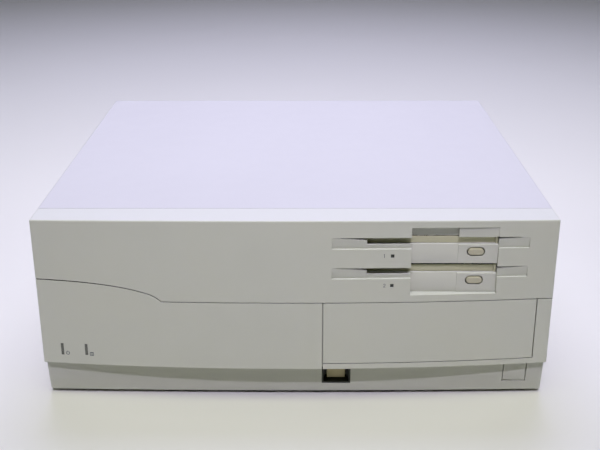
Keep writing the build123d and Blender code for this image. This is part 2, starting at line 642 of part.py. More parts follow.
with BuildPart() as slot_covers:
    with BuildSketch(Plane.XZ.offset(-163.2)):
        with Locations(*slot_covers_xz()):
            Rectangle(164.0, 22.6)
        with Locations(*[(CARD_X + s * 78.0, z) for s in (-1, 1) for z in CARD_Z]):
            Circle(1.7, mode=Mode.SUBTRACT)
    extrude(amount=-1.0)
    try_fillet(slot_covers, [e for e in slot_covers.edges().filter_by(Axis.Y) if e.length < 1.1], 1.0)
    # pressed rib
    with BuildSketch(Plane.XZ.offset(-164.2)):
        with Locations(*slot_covers_xz()):
            SlotOverall(120.0, 8.0)
    extrude(amount=-0.6, taper=20)
slot_covers.part.label = "slot_covers"
export_step(slot_covers.part, "parts/slot_covers.step")


# ---------------------------------------------------------------- identical pan-head screws, M3
# heads stand on: lid hem (y 164.5), slot covers (y 164.2)
SCREW_POS = ([(x, 164.5, z) for x, z in ((-150, 142.5), (150, 142.5), (-192.5, 60.0), (192.5, 60.0))]
             + [(CARD_X + s * 78.0, 164.2, z) for s in (-1, 1) for z in CARD_Z])
with BuildPart() as panel_screws:
    for x, y, z in SCREW_POS:
        with BuildSketch(Plane.XZ.offset(-y)):
            with Locations((x, z)):
                Circle(2.9)
        extrude(amount=-1.9)
        with BuildSketch(Plane.XZ.offset(-y)):
            with Locations((x, z)):
                Circle(1.45)
        extrude(amount=6.0)
    fillet([e for e in panel_screws.edges().filter_by(GeomType.CIRCLE)
            if e.center().Y > 166.0 and abs(e.radius - 2.9) < 0.01], 0.9)
    for x, y, z in SCREW_POS:
        with Locations((x, y + 1.5, z)):
            Box(3.4, 1.2, 0.8, mode=Mode.SUBTRACT)
            Box(0.8, 1.2, 3.4, mode=Mode.SUBTRACT)
panel_screws.part.label = "panel_screws"
export_step(panel_screws.part, "parts/panel_screws.step")


# ================================================================ drives and their cage
def drive_base(k):
    """y and z of a drive's reference point: front plane of its fascia's foot, bottom."""
    return (F + (DRIVE_STEP if k == 1 else 0.0), LOW_Z + (DRIVE_PITCH if k == 1 else 0.0))


DX0, DX1 = DRIVE_X - DRIVE_W / 2, DRIVE_X + DRIVE_W / 2
SX0, SX1 = DRIVE_X - SLOT_W / 2, DRIVE_X + SLOT_W / 2
EJ_X, EJ_Z = 138.1, 9.4
CH_L = 130.0                       # depth of a drive's chassis
RAIL_DX, RAIL_Z, RAIL_R = 14.0, 9.0, 1.5

for k in (1, 2):
    yk, zk = drive_base(k)

    # ---- fascia: crowned left block, flat right block with the eject button's hole, slot above
    with BuildPart() as fascia:
        with BuildSketch(Plane.YZ.offset(DX0)):
            with BuildLine():
                ThreePointArc((yk - 7.5, zk), (yk - 6.5, zk + 8.0), (yk - 3.9, zk + 14.9))
                Polyline((yk - 3.9, zk + 14.9), (yk + 2.0, zk + 14.9), (yk + 2.0, zk), (yk - 7.5, zk))
            make_face()
        extrude(amount=COL_X - DX0)
        with BuildSketch(Plane.YZ.offset(COL_X)):
            with BuildLine():
                Polyline((yk - 8.0, zk), (yk - 5.9, zk + 14.9), (yk + 2.0, zk + 14.9), (yk + 2.0, zk), close=True)
            make_face()
        extrude(amount=DX1 - COL_X)
        face_edges = [e for e in fascia.edges()
                      if e.center().Y < yk - 3.0 and e.bounding_box().size.Y < 3.7 and e.length > 10]
        try_fillet(fascia, [e for e in face_edges if e.center().X > COL_X - 0.1
                            and e.center().Y < yk - 6.2], 0.5)
        try_fillet(fascia, [e for e in fascia.edges().filter_by(Axis.X)
                            if e.center().X < COL_X and e.center().Y < yk - 3.5 and e.center().Z > zk + 5], 0.6)
        with Locations((DRIVE_X, yk + 0.9, zk + 18.8)):
            Box(DRIVE_W, 2.2, 7.8)
        for x in ((DX0 + SX0) / 2, (DX1 + SX1) / 2):
            with Locations((x, yk - 1.2, zk + 18.0)):
                Box(SX0 - DX0, 4.0, 6.2)
        with Locations((DRIVE_X, yk, zk + 14.9 + 3.1)):
            Box(SLOT_W, 20.0, 6.2, mode=Mode.SUBTRACT)
        with BuildSketch(Plane.YZ.offset(SX0 - 0.9)):
            with Locations((yk - 1.7, zk + 20.1)):
                Circle(0.56)
        extrude(amount=SLOT_W + 1.8, mode=Mode.SUBTRACT)
        with BuildSketch(Plane.XZ.offset(-(yk + 3.0))):
            with Locations((EJ_X, zk + EJ_Z)):
                SlotOverall(13.9, 7.3)
        extrude(amount=15.0, mode=Mode.SUBTRACT)
        # lamp socket
        with Locations((LAMP_XZ[0][0], yk - 7.0, zk + 7.6)):
            Box(2.6, 3.0, 2.6, mode=Mode.SUBTRACT)
    fascia.part.label = f"drive_{k}_fascia"
    export_step(fascia.part, f"parts/drive_{k}_fascia.step")

    # ---- dust flap, hung from pins at its top edge
    with BuildPart() as flap:
        with Locations((DRIVE_X, yk - 1.7, zk + (15.1 + 20.6) / 2)):
            Box(SLOT_W - 0.6, 1.0, 5.5)
        fillet([e for e in flap.edges().filter_by(Axis.X) if e.center().Z > zk + 20], 0.45)
        with BuildSketch(Plane.YZ.offset(SX0 - 0.6)):
            with Locations((yk - 1.7, zk + 20.1)):
                Circle(0.5)
        extrude(amount=SLOT_W + 1.2)
    flap.part.label = f"drive_{k}_flap"
    export_step(flap.part, f"parts/drive_{k}_flap.step")

    # ---- eject button with its stem
    with BuildPart() as eject:
        with BuildSketch(Plane.XZ.offset(-(yk - 7.2))):
            with Locations((EJ_X, zk + EJ_Z)):
                SlotOverall(12.0, 5.4)
        extrude(amount=-5.0)
        fillet(eject.faces().sort_by(Axis.Y)[0].edges(), 0.6)
        with Locations((EJ_X, yk + 10.0, zk + EJ_Z)):
            Box(5.0, 24.6, 3.0)
    eject.part.label = f"drive_{k}_eject_button"
    export_step(eject.part, f"parts/drive_{k}_eject_button.step")

    # ---- square lamp in the bezel
    lx, lz = LAMP_XZ[k - 1]
    with BuildPart() as lamp:
        with Locations((lx, (front_y(lx, lz) + 0.25 + yk - 6.6) / 2, lz)):
            Box(2.5, yk - 6.6 - front_y(lx, lz) - 0.25, 2.5)
    lamp.part.label = f"drive_{k}_lamp"
    export_step(lamp.part, f"parts/drive_{k}_lamp.step")

    # ---- chassis: tray with head rails
    with BuildPart() as chassis:
        with Locations((DRIVE_X, yk + 2.0 + CH_L / 2, zk + 0.8 + 10.5)):
            Box(DRIVE_W, CH_L, 21.0)
        with Locations((DRIVE_X, yk + 2.0 + (CH_L - 1.0) / 2 - 5.0, zk + 1.8 + 20.0)):
            Box(DRIVE_W - 2.0, CH_L - 1.0 + 10.0, 40.0, mode=Mode.SUBTRACT)
        with Locations((DRIVE_X, yk + 2.0 + CH_L, zk + 14.0 + 10.0)):
            Box(DRIVE_W + 2, 20.0, 20.0, mode=Mode.SUBTRACT)
        for dx in (-RAIL_DX, RAIL_DX):
            with BuildSketch(Plane.XZ.offset(-(yk + 83.0))):
                with Locations((DRIVE_X + dx, zk + RAIL_Z)):
                    Circle(RAIL_R)
            extrude(amount=-(CH_L + 1.5 - 83.0))
        with Locations((DRIVE_X, yk + 82.0, zk + 6.8)):
            Box(36.0, 2.4, 10.4)
        with BuildSketch(Plane.XY.offset(zk + 0.8)):
            with Locations((DRIVE_X, yk + SPINDLE)):
                Circle(5.0)
        extrude(amount=1.8)
        with BuildSketch(Plane.XY.offset(zk + 0.5)):
            with Locations((DRIVE_X, yk + SPINDLE)):
                Circle(2.05)
        extrude(amount=3.0, mode=Mode.SUBTRACT)
        # pads under the circuit board
        with BuildSketch(Plane.XY.offset(zk + 1.0)):
            with Locations((DX0 + 6, yk + 26), (DX1 - 6, yk + 26), (DX0 + 6, yk + 122), (DX1 - 6, yk + 122)):
                Circle(2.2)
        extrude(amount=1.2)
    chassis.part.label = f"drive_{k}_chassis"
    export_step(chassis.part, f"parts/drive_{k}_chassis.step")

    # ---- spindle: shaft, motor rotor and hub plate
    with BuildPart() as spindle:
        with BuildSketch(Plane.XY.offset(zk + 0.9)):
            with Locations((DRIVE_X, yk + SPINDLE)):
                Circle(2.0)
        extrude(amount=10.0)
        with BuildSketch(Plane.XY.offset(zk + 4.4)):
            with Locations((DRIVE_X, yk + SPINDLE)):
                Circle(22.0)
        extrude(amount=2.8)
        with BuildSketch(Plane.XY.offset(zk + 7.2)):
            with Locations((DRIVE_X, yk + SPINDLE)):
                Circle(12.5)
        extrude(amount=3.0)
        with BuildSketch(Plane.XY.offset(zk + 10.2)):
            with Locations((DRIVE_X + 9.0, yk + SPINDLE)):
                RectangleRounded(4.0, 2.4, 0.6)
        extrude(amount=1.2)
    spindle.part.label = f"drive_{k}_spindle"
    export_step(spindle.part, f"parts/drive_{k}_spindle.step")

    # ---- head carriage on the two rails
    with BuildPart() as carriage:
        with Locations((DRIVE_X, yk + 104.0, zk + 9.0)):
            Box(40.0, 22.0, 6.6)
        with Locations((DRIVE_X, yk + 112.0, zk + 14.0)):
            Box(14.0, 6.0, 4.0)
        with Locations((DRIVE_X, yk + 101.0, zk + 16.6)):
            Box(12.0, 28.0, 1.6)
        with Locations((DRIVE_X, yk + 90.0, zk + 12.4)):
            Box(7.0, 7.0, 2.0)
        with Locations((DRIVE_X, yk + 92.0, zk + 10.7)):
            Box(10.0, 8.0, 1.6)
        with Locations((DRIVE_X, yk + 90.0, zk + 15.0)):
            Box(7.0, 6.0, 1.8)
        for dx in (-RAIL_DX, RAIL_DX):
            with BuildSketch(Plane.XZ.offset(-(yk + 92.0))):
                with Locations((DRIVE_X + dx, zk + RAIL_Z)):
                    Circle(RAIL_R + 0.06)
            extrude(amount=-24.0, mode=Mode.SUBTRACT)
    carriage.part.label = f"drive_{k}_head_carriage"
    export_step(carriage.part, f"parts/drive_{k}_head_carriage.step")

    # ---- drive electronics
    with BuildPart() as drive_board:
        with Locations((DRIVE_X, yk + 74.0, zk + 2.8)):
            Box(DRIVE_W - 4.0, 106.0, 1.2)
        with BuildSketch(Plane.XY.offset(zk + 2.0)):
            with Locations((DRIVE_X, yk + SPINDLE)):
                Circle(6.0)
        extrude(amount=3.0, mode=Mode.SUBTRACT)
        for x, y, w, l in ((-36, 100, 14, 14), (-34, 76, 10, 7), (34, 88, 12, 12), (36, 112, 16, 6), (38, 64, 6, 10)):
            with Locations((DRIVE_X + x, yk + y, zk + 4.1)):
                Box(w, l, 1.6)
        # signal and power headers at the rear edge
        with Locations((DRIVE_X - 35.5, yk + 124.0, zk + 6.2)):
            Box(24.0, 5.0, 5.8)
        with Locations((DRIVE_X + 36, yk + 124.0, zk + 6.2)):
            Box(10.0, 5.0, 5.8)
        # cut-out for the rail bracket
        with Locations((DRIVE_X, yk + 82.0, zk + 2.8)):
            Box(38.0, 4.4, 4.0, mode=Mode.SUBTRACT)
    drive_board.part.label = f"drive_{k}_circuit_board"
    export_step(drive_board.part, f"parts/drive_{k}_circuit_board.step")

# ---- cage: file bay below, shelf and side plates for the slim drives above
CG_Y0, CG_Y1 = -112.0, 70.0
with BuildPart() as drive_cage:
    with Locations((29.4, (CG_Y0 + CG_Y1) / 2, (24.0 + 91.4) / 2)):
        Box(SHEET, CG_Y1 - CG_Y0, 91.4 - 24.0)
    with Locations((29.4, CG_Y0 + 11, 14.2), (29.4, CG_Y1 - 23, 14.2)):
        Box(SHEET, 22.0, 20.0)
    with Locations((180.6, (CG_Y0 + CG_Y1) / 2, (4.2 + 91.4) / 2)):
        Box(SHEET, CG_Y1 - CG_Y0, 91.4 - 4.2)
    with Locations((105.0, (CG_Y0 + CG_Y1) / 2, 37.4), (105.0, (CG_Y0 + CG_Y1) / 2, 90.8)):
        Box(152.4, CG_Y1 - CG_Y0, SHEET)
    with Locations((174.0, (CG_Y0 + CG_Y1) / 2, 4.8), (36.0, CG_Y0 + 11, 4.8), (36.0, CG_Y1 - 23, 4.8)):
        Box(12.0, 22.0, SHEET)
    for x in (DX0 - SHEET / 2, DX1 + SHEET / 2):
        with Locations((x, (F + 8.0 - 4.0) / 2, (91.4 + 141.0) / 2)):
            Box(SHEET, -4.0 - F - 8.0, 141.0 - 91.4)
    # notch over the power switch
    with Locations((29.4, 67.0, 25.0)):
        Box(3.0, 10.0, 4.0, mode=Mode.SUBTRACT)
    # lightening holes
    with BuildSketch(Plane.YZ.offset(20.0)):
        with Locations((-75.0, 62.0), (-25.0, 62.0), (25.0, 62.0)):
            RectangleRounded(36.0, 22.0, 4.0)
    extrude(amount=170.0, mode=Mode.SUBTRACT)
    with BuildSketch(Plane.YZ.offset(40.0)):
        with Locations((-50.0, 115.0)):
            with GridLocations(40.0, 24.0, 2, 2):
                Circle(3.0)
    extrude(amount=130.0, mode=Mode.SUBTRACT)
drive_cage.part.label = "drive_cage"
export_step(drive_cage.part, "parts/drive_cage.step")

# ================================================================ power supply
PS_X0, PS_X1, PS_Y0, PS_Y1, PS_Z0, PS_Z1 = 24.0, 186.0, 84.0, 161.9, 4.2, 146.0
with BuildPart() as psu_case:
    with Locations(((PS_X0 + PS_X1) / 2, (PS_Y0 + PS_Y1) / 2, (PS_Z0 + PS_Z1) / 2)):
        Box(PS_X1 - PS_X0, PS_Y1 - PS_Y0, PS_Z1 - PS_Z0)
    with Locations(((PS_X0 + PS_X1) / 2, (PS_Y0 + PS_Y1) / 2 + 3.0, (PS_Z0 + PS_Z1) / 2)):
        Box(PS_X1 - PS_X0 - 2.0, PS_Y1 - PS_Y0 + 4.0, PS_Z1 - PS_Z0 - 2.0, mode=Mode.SUBTRACT)
    # vents in the side, top and front walls
    with BuildSketch(Plane.YZ.offset(PS_X0 - 5)):
        with Locations((122.0, 60.0)):
            with GridLocations(7.0, 34.0, 8, 2):
                SlotOverall(28.0, 3.0, rotation=90)
    extrude(amount=200.0, mode=Mode.SUBTRACT)
    with BuildSketch(Plane.XZ.offset(-(PS_Y0 - 5))):
        with Locations((120.0, 112.0)):
            with GridLocations(8.0, 30.0, 12, 2):
                SlotOverall(24.0, 3.4, rotation=90)
        with Locations((BTN_X, BTN_Z)):
            Rectangle(12.0, 12.0)
        with Locations((40.0, 118.0), (40.0, 60.0)):
            Circle(5.2)
    extrude(amount=-10.0, mode=Mode.SUBTRACT)
    with BuildSketch(Plane.XY.offset(PS_Z0)):
        with Locations((36, 94), (174, 94), (36, 130), (86, 130)):
            Circle(2.6)
    extrude(amount=8.0)
psu_case.part.label = "psu_case"
export_step(psu_case.part, "parts/psu_case.step")

with BuildPart() as psu_board:
    with Locations((105.0, 111.0, 13.0)):
        Box(146.0, 48.0, 1.6)
    with Locations((33.0, 91.0, 13.0)):
        Box(12.0, 14.0, 4.0, mode=Mode.SUBTRACT)
psu_board.part.label = "psu_board"
export_step(psu_board.part, "parts/psu_board.step")

with BuildPart() as psu_components:
    with BuildSketch(Plane.XY.offset(13.8)):
        with Locations((60, 122), (60, 99)):
            Circle(11.0)
        with Locations((170, 100), (170, 113), (157, 100), (44, 106)):
            Circle(5.0)
    extrude(amount=34.0)
    with Locations((110.0, 104.0, 30.0)):
        Box(34.0, 30.0, 32.4)
    with Locations((82.0, 110.0, 36.0)):
        Box(4.0, 44.0, 44.4)
    with Locations((138.0, 110.0, 36.0)):
        Box(4.0, 44.0, 44.4)
    for x in (82.0, 138.0):
        for z in (44.0, 50.0, 56.0):
            with Locations((x, 110.0, z)):
                Box(9.0, 44.0, 1.6)
    with Locations((160.0, 124.0, 22.0)):
        Box(18.0, 16.0, 16.4)
psu_components.part.label = "psu_components"
export_step(psu_components.part, "parts/psu_components.step")

with BuildPart() as fan_frame:
    with Locations((FAN_X, 149.4, FAN_Z)):
        Box(80.0, 25.0, 80.0)
    fillet(fan_frame.edges().filter_by(Axis.Y), 3.0)
    with BuildSketch(Plane.XZ.offset(-130.0)):
        with Locations((FAN_X, FAN_Z)):
            Circle(38.0)
    extrude(amount=-40.0, mode=Mode.SUBTRACT)
    # motor carrier on the rear side, with three struts
    with BuildSketch(Plane.XZ.offset(-158.4)):
        with Locations((FAN_X, FAN_Z)):
            Circle(18.0)
            Rectangle(5.0, 77.0)
            Rectangle(77.0, 5.0)
    extrude(amount=-3.0)
    with BuildSketch(Plane.XZ.offset(-150.0)):
        with Locations((FAN_X, FAN_Z)):
            Circle(4.0)
    extrude(amount=-10.0)
    with BuildSketch(Plane.XZ.offset(-149.0)):
        with Locations((FAN_X, FAN_Z)):
            Circle(1.55)
    extrude(amount=-13.0, mode=Mode.SUBTRACT)
    with BuildSketch(Plane.XZ.offset(-130.0)):
        with Locations(*[(FAN_X + sx * 35.75, FAN_Z + sz * 35.75) for sx in (-1, 1) for sz in (-1, 1)]):
            Circle(2.2)
    extrude(amount=-40.0, mode=Mode.SUBTRACT)
fan_frame.part.label = "fan_frame"
export_step(fan_frame.part, "parts/fan_frame.step")

with BuildPart() as fan_rotor:
    with BuildSketch(Plane.XZ.offset(-139.4)):
        with Locations((FAN_X, FAN_Z)):
            Circle(16.5)
    extrude(amount=-18.2)
    fillet(fan_rotor.faces().sort_by(Axis.Y)[0].edges(), 2.0)
    with BuildSketch(Plane.XZ.offset(-142.4)):
        with Locations((FAN_X, FAN_Z)):
            Circle(14.5)
    extrude(amount=-18.2, mode=Mode.SUBTRACT)
    with BuildSketch(Plane.XZ.offset(-141.4)):
        with Locations((FAN_X, FAN_Z)):
            Circle(1.5)
    extrude(amount=-15.0)
    # seven blades, each a leaning plate whose outer end stays inside the duct
    for i in range(7):
        a = i * 360.0 / 7
        with BuildSketch(Plane(origin=(FAN_X, 0, FAN_Z), x_dir=(0, 1, 0),
                               z_dir=Vector(1, 0, 0).rotate(Axis.Y, a)).offset(15.5)):
            with Locations((148.4, 0)):
                Rectangle(15.0, 1.6, rotation=32)
        extrude(amount=20.6)
fan_rotor.part.label = "fan_rotor"
export_step(fan_rotor.part, "parts/fan_rotor.step")

with BuildPart() as ac_inlet:
    with Locations((58.0, 152.0, 112.0)):
        Box(27.0, 22.4, 19.4)
    with Locations((58.0, 164.2, 112.0)):
        Box(44.0, 2.0, 34.0)
    fillet([e for e in ac_inlet.edges().filter_by(Axis.Y) if e.length < 2.1], 2.0)
    with BuildSketch(Plane.XZ.offset(-149.0)):
        with Locations((58.0, 112.0)):
            Rectangle(24.0, 16.4)
    extrude(amount=-20.0, mode=Mode.SUBTRACT)
    with Locations((51.0, 155.0, 110.6), (65.0, 155.0, 110.6), (58.0, 155.0, 114.6)):
        Box(2.0, 16.0, 4.0)
ac_inlet.part.label = "ac_inlet"
export_step(ac_inlet.part, "parts/ac_inlet.step")

with BuildPart() as ac_outlet:
    with Locations((58.0, 154.0, 74.0)):
        Box(27.0, 18.4, 24.0)
    with Locations((58.0, 164.2, 74.0)):
        Box(34.0, 2.0, 29.0)
    fillet([e for e in ac_outlet.edges().filter_by(Axis.Y) if e.length < 2.1], 2.0)
    with Locations((51.6, 160.0, 76.0), (64.4, 160.0, 76.0)):
        Box(2.2, 20.0, 8.0, mode=Mode.SUBTRACT)
    with BuildSketch(Plane.XZ.offset(-150.0)):
        with Locations((58.0, 67.4)):
            Circle(2.7)
    extrude(amount=-20.0, mode=Mode.SUBTRACT)
ac_outlet.part.label = "ac_outlet"
export_step(ac_outlet.part, "parts/ac_outlet.step")

# ================================================================ boards
MB_Z = BOARD_Z + 1.6
with BuildPart() as motherboard:
    with Locations((-84.0, 30.0, BOARD_Z + 0.8)):
        Box(208.0, 252.0, 1.6)
    fillet(motherboard.edges().filter_by(Axis.Z), 2.0)
motherboard.part.label = "motherboard"
export_step(motherboard.part, "parts/motherboard.step")

CHIPS = [(-160, 20, 28, 28), (-120, 20, 28, 28), (-70, 20, 24, 24), (-30, 30, 32, 14), (-30, 55, 32, 14),
         (-160, 70, 20, 12), (-130, 70, 20, 12), (-100, 70, 20, 12), (-160, 100, 30, 30), (-110, 105, 26, 20),
         (-60, 105, 30, 14), (-20, 100, 14, 30), (0, -40, 14, 24), (0, -74, 14, 20), (-130, -26, 16, 8)]
with BuildPart() as board_chips:
    for x, y, w, l in CHIPS:
        with Locations((x, y, MB_Z + 1.6)):
            Box(w, l, 3.2)
    fillet(board_chips.edges().filter_by(Axis.Z), 0.6)
board_chips.part.label = "board_chips"
export_step(board_chips.part, "parts/board_chips.step")

CPU_X, CPU_Y = -50.0, -56.0
with BuildPart() as cpu:
    with Locations((CPU_X, CPU_Y, MB_Z + 3.0)):
        Box(52.0, 52.0, 6.0)
    fillet(cpu.edges().filter_by(Axis.Z), 1.5)
    with Locations((CPU_X, CPU_Y, MB_Z + 7.5)):
        Box(44.0, 44.0, 3.0)
cpu.part.label = "cpu"
export_step(cpu.part, "parts/cpu.step")

with BuildPart() as cpu_heatsink:
    with Locations((CPU_X, CPU_Y, MB_Z + 9.0 + 1.5)):
        Box(44.0, 44.0, 3.0)
    with BuildSketch(Plane.XY.offset(MB_Z + 12.0)):
        with Locations((CPU_X, CPU_Y)):
            with GridLocations(6.0, 1.0, 8, 1):
                Rectangle(1.4, 44.0)
    extrude(amount=16.0)
cpu_heatsink.part.label = "cpu_heatsink"
export_step(cpu_heatsink.part, "parts/cpu_heatsink.step")

with BuildPart() as memory_modules:
    for y in (-84.0, -74.0, -64.0, -54.0):
        with Locations((-135.0, y, MB_Z + 4.0)):
            Box(96.0, 6.0, 8.0)
        with Locations((-135.0, y, MB_Z + 17.0)):
            Box(89.0, 1.2, 24.0)
        for i in range(8):
            with Locations((-135.0 - 38.5 + i * 11.0, y - 1.4, MB_Z + 19.0)):
                Box(8.0, 1.8, 14.0)
memory_modules.part.label = "memory_modules"
export_step(memory_modules.part, "parts/memory_modules.step")

with BuildPart() as clock_battery:
    with BuildSketch(Plane.YZ.offset(-20.0)):
        with Locations((-14.0, MB_Z + 7.0)):
            Circle(7.0)
    extrude(amount=32.0)
    for x in (-16.0, 8.0):
        with Locations((x, -14.0, MB_Z + 1.5)):
            Box(3.0, 13.0, 3.0)
clock_battery.part.label = "clock_battery"
export_step(clock_battery.part, "parts/clock_battery.step")

with BuildPart() as bus_board:
    with Locations((CARD_X, -12.0, (MB_Z + 138.0) / 2)):
        Box(156.0, 1.6, 138.0 - MB_Z)
bus_board.part.label = "bus_board"
export_step(bus_board.part, "parts/bus_board.step")

with BuildPart() as bus_connectors:
    for z in CARD_Z:
        with Locations((CARD_X, -11.2 + 5.0, z)):
            Box(128.0, 10.0, 9.0)
        with Locations((CARD_X, -11.2 + 7.0, z)):
            Box(118.0, 8.0, 2.2, mode=Mode.SUBTRACT)
bus_connectors.part.label = "bus_connectors"
export_step(bus_connectors.part, "parts/bus_connectors.step")

CC_X0, CC_X1 = CARD_X - 82.6, CARD_X + 82.6
with BuildPart() as card_cage:
    for x in (CC_X0 + SHEET / 2, CC_X1 - SHEET / 2):
        with Locations((x, (-8.0 + 161.9) / 2, (46.0 + 142.0) / 2)):
            Box(SHEET, 161.9 + 8.0, 96.0)
    with Locations(((CC_X0 + CC_X1) / 2, (-8.0 + 161.9) / 2, 46.6)):
        Box(CC_X1 - CC_X0, 161.9 + 8.0, SHEET)
    # front bar and shelf tabs rest against the bus board
    with Locations(((CC_X0 + CC_X1) / 2, -8.6, 136.0)):
        Box(CC_X1 - CC_X0, 5.2, 3.0)
    with Locations((CC_X0 + 20.0, -9.6, 46.6), (CC_X1 - 20.0, -9.6, 46.6)):
        Box(12.0, 3.2, SHEET)
    # card guides
    for x, s in ((CC_X0 + SHEET, 1), (CC_X1 - SHEET, -1)):
        for z in CARD_Z:
            for dz in (-2.2, 2.2):
                with Locations((x + s * 2.5, 77.0, z + dz)):
                    Box(5.2, 140.0, 1.6)
    with BuildSketch(Plane.YZ.offset(CC_X0 - 10)):
        with Locations((25.0, 74.5), (75.0, 74.5), (125.0, 74.5), (25.0, 99.5), (75.0, 99.5), (125.0, 99.5)):
            SlotOverall(34.0, 8.0)
    extrude(amount=190.0, mode=Mode.SUBTRACT)
card_cage.part.label = "card_cage"
export_step(card_cage.part, "parts/card_cage.step")

# ---------------------------------------------------------------- rear ports
with BuildPart() as monitor_port:
    with Locations((-170.0, 154.0, 20.6)):
        Box(36.0, 15.6, 14.0)
    with BuildSketch(Plane.XZ.offset(-161.0)):
        with Locations((-170.0, 20.6)):
            Trapezoid(26.0, 8.4, 80, rotation=180)
    extrude(amount=-5.6)
    with BuildSketch(Plane.XZ.offset(-163.6)):
        with Locations((-170.0, 20.6)):
            with GridLocations(4.0, 2.6, 5, 3):
                Circle(0.6)
    extrude(amount=-5.0, mode=Mode.SUBTRACT)
monitor_port.part.label = "monitor_port"
export_step(monitor_port.part, "parts/monitor_port.step")

with BuildPart() as serial_port:
    with Locations((-118.0, 154.0, 20.6)):
        Box(58.0, 15.6, 14.0)
    with BuildSketch(Plane.XZ.offset(-161.0)):
        with Locations((-118.0, 20.6)):
            Trapezoid(41.0, 8.6, 80, rotation=180)
    extrude(amount=-5.6)
    with BuildSketch(Plane.XZ.offset(-163.6)):
        with Locations((-118.0, 21.8)):
            with GridLocations(2.76, 2.6, 13, 1):
                Circle(0.55)
        with Locations((-118.0, 19.2)):
            with GridLocations(2.76, 2.6, 12, 1):
                Circle(0.55)
    extrude(amount=-5.0, mode=Mode.SUBTRACT)
serial_port.part.label = "serial_port"
export_step(serial_port.part, "parts/serial_port.step")

with BuildPart() as printer_port:
    with Locations((-60.0, 154.0, 20.6)):
        Box(46.0, 15.6, 14.0)
    with BuildSketch(Plane.XZ.offset(-161.0)):
        with Locations((-60.0, 20.6)):
            RectangleRounded(38.0, 9.6, 2.0)
    extrude(amount=-5.6)
    with Locations((-60.0, 165.4, 20.6)):
        Box(31.0, 3.6, 4.8, mode=Mode.SUBTRACT)
    with Locations((-60.0, 165.0, 20.6)):
        Box(28.0, 2.8, 1.4)
printer_port.part.label = "printer_port"
export_step(printer_port.part, "parts/printer_port.step")

with BuildPart() as round_ports:
    for x in (-22.0, 0.0):
        with Locations((x, 153.8, 20.9)):
            Box(16.0, 15.2, 14.6)
        with BuildSketch(Plane.XZ.offset(-161.0)):
            with Locations((x, 21.0)):
                Circle(7.1)
        extrude(amount=-3.2)
        with BuildSketch(Plane.XZ.offset(-158.0)):
            with Locations((x, 21.0)):
                Circle(5.0)
        extrude(amount=-8.0, mode=Mode.SUBTRACT)
        with BuildSketch(Plane.XZ.offset(-158.0)):
            with Locations((x, 21.0)):
                Circle(3.6)
        extrude(amount=-5.6)
        with BuildSketch(Plane.XZ.offset(-160.6)):
            with Locations((x, 21.0)):
                with PolarLocations(2.3, 6):
                    Circle(0.5)
        extrude(amount=-5.0, mode=Mode.SUBTRACT)
round_ports.part.label = "round_ports"
export_step(round_ports.part, "parts/round_ports.step")

# ---------------------------------------------------------------- speaker, lamps
SPK_X, SPK_Z = -60.0, 66.0
with BuildPart() as speaker:
    with Locations((SPK_X, F + STRIP + 2.0, (4.2 + 100.0) / 2)):
        Box(66.0, 1.2, 95.8)
    with Locations((SPK_X, F + STRIP + 8.0, 4.8)):
        Box(66.0, 12.0, 1.2)
    with BuildSketch(Plane.XZ.offset(-(F + STRIP))):
        with Locations((SPK_X, SPK_Z)):
            Circle(24.0)
    extrude(amount=-10.0, mode=Mode.SUBTRACT)
    with BuildSketch(Plane.XZ.offset(-(F + STRIP + 2.6))):
        with Locations((SPK_X, SPK_Z)):
            Circle(28.5)
            Circle(23.0, mode=Mode.SUBTRACT)
    extrude(amount=-2.0)
    with BuildSketch(Plane.XZ.offset(-(F + STRIP + 4.6))):
        with Locations((SPK_X, SPK_Z)):
            Circle(28.0)
    extrude(amount=-9.0, taper=28)
    with BuildSketch(Plane.XZ.offset(-(F + STRIP + 13.0))):
        with Locations((SPK_X, SPK_Z)):
            Circle(16.0)
    extrude(amount=-9.0)
speaker.part.label = "speaker"
export_step(speaker.part, "parts/speaker.step")

LB_Y = F + 4.0
with BuildPart() as lamp_board:
    with Locations((-174.5, LB_Y + 0.8, 47.0)):
        Box(36.0, 1.6, 18.0)
    for x in (-190.0, -159.0):
        yf = front_y(x, 54.0) + SKIN + 0.35
        with Locations((x, (yf + LB_Y) / 2, 54.0)):
            Box(3.0, LB_Y - yf, 3.0)
lamp_board.part.label = "lamp_board"
export_step(lamp_board.part, "parts/lamp_board.step")

with BuildPart() as lamp_form:
    add(front_form(-0.1, HALF - 1.0, F + 20, 30.0, 100.0))
with BuildPart() as panel_lamps:
    for x, z, w, h in LAMP_BARS:
        with Locations((x, F - 13.0, z)):
            Box(w, 34.0, h)
    add(lamp_form.part, mode=Mode.INTERSECT)
panel_lamps.part.label = "panel_lamps"
export_step(panel_lamps.part, "parts/panel_lamps.step")

# ---------------------------------------------------------------- ribbon cable from the drives to the main board
RIB_T = 1.2
with BuildPart() as drive_cable:
    with BuildSketch(Plane.XZ.offset(-8.0)):
        with BuildLine():
            path = FilletPolyline((122.0, 128.0), (126.0, 100.0), (96.0, 95.0), (14.0, 95.0), (11.0, MB_Z + 8.0),
                                  radius=6.0)
            offset(amount=RIB_T / 2, kind=Kind.ARC, side=Side.BOTH)
        make_face()
    extrude(amount=-34.0)
    # socket on the main board and one behind each drive
    with Locations((11.0, 25.0, MB_Z + 4.0)):
        Box(9.0, 40.0, 8.0)
drive_cable.part.label = "drive_cable"
export_step(drive_cable.part, "parts/drive_cable.step")

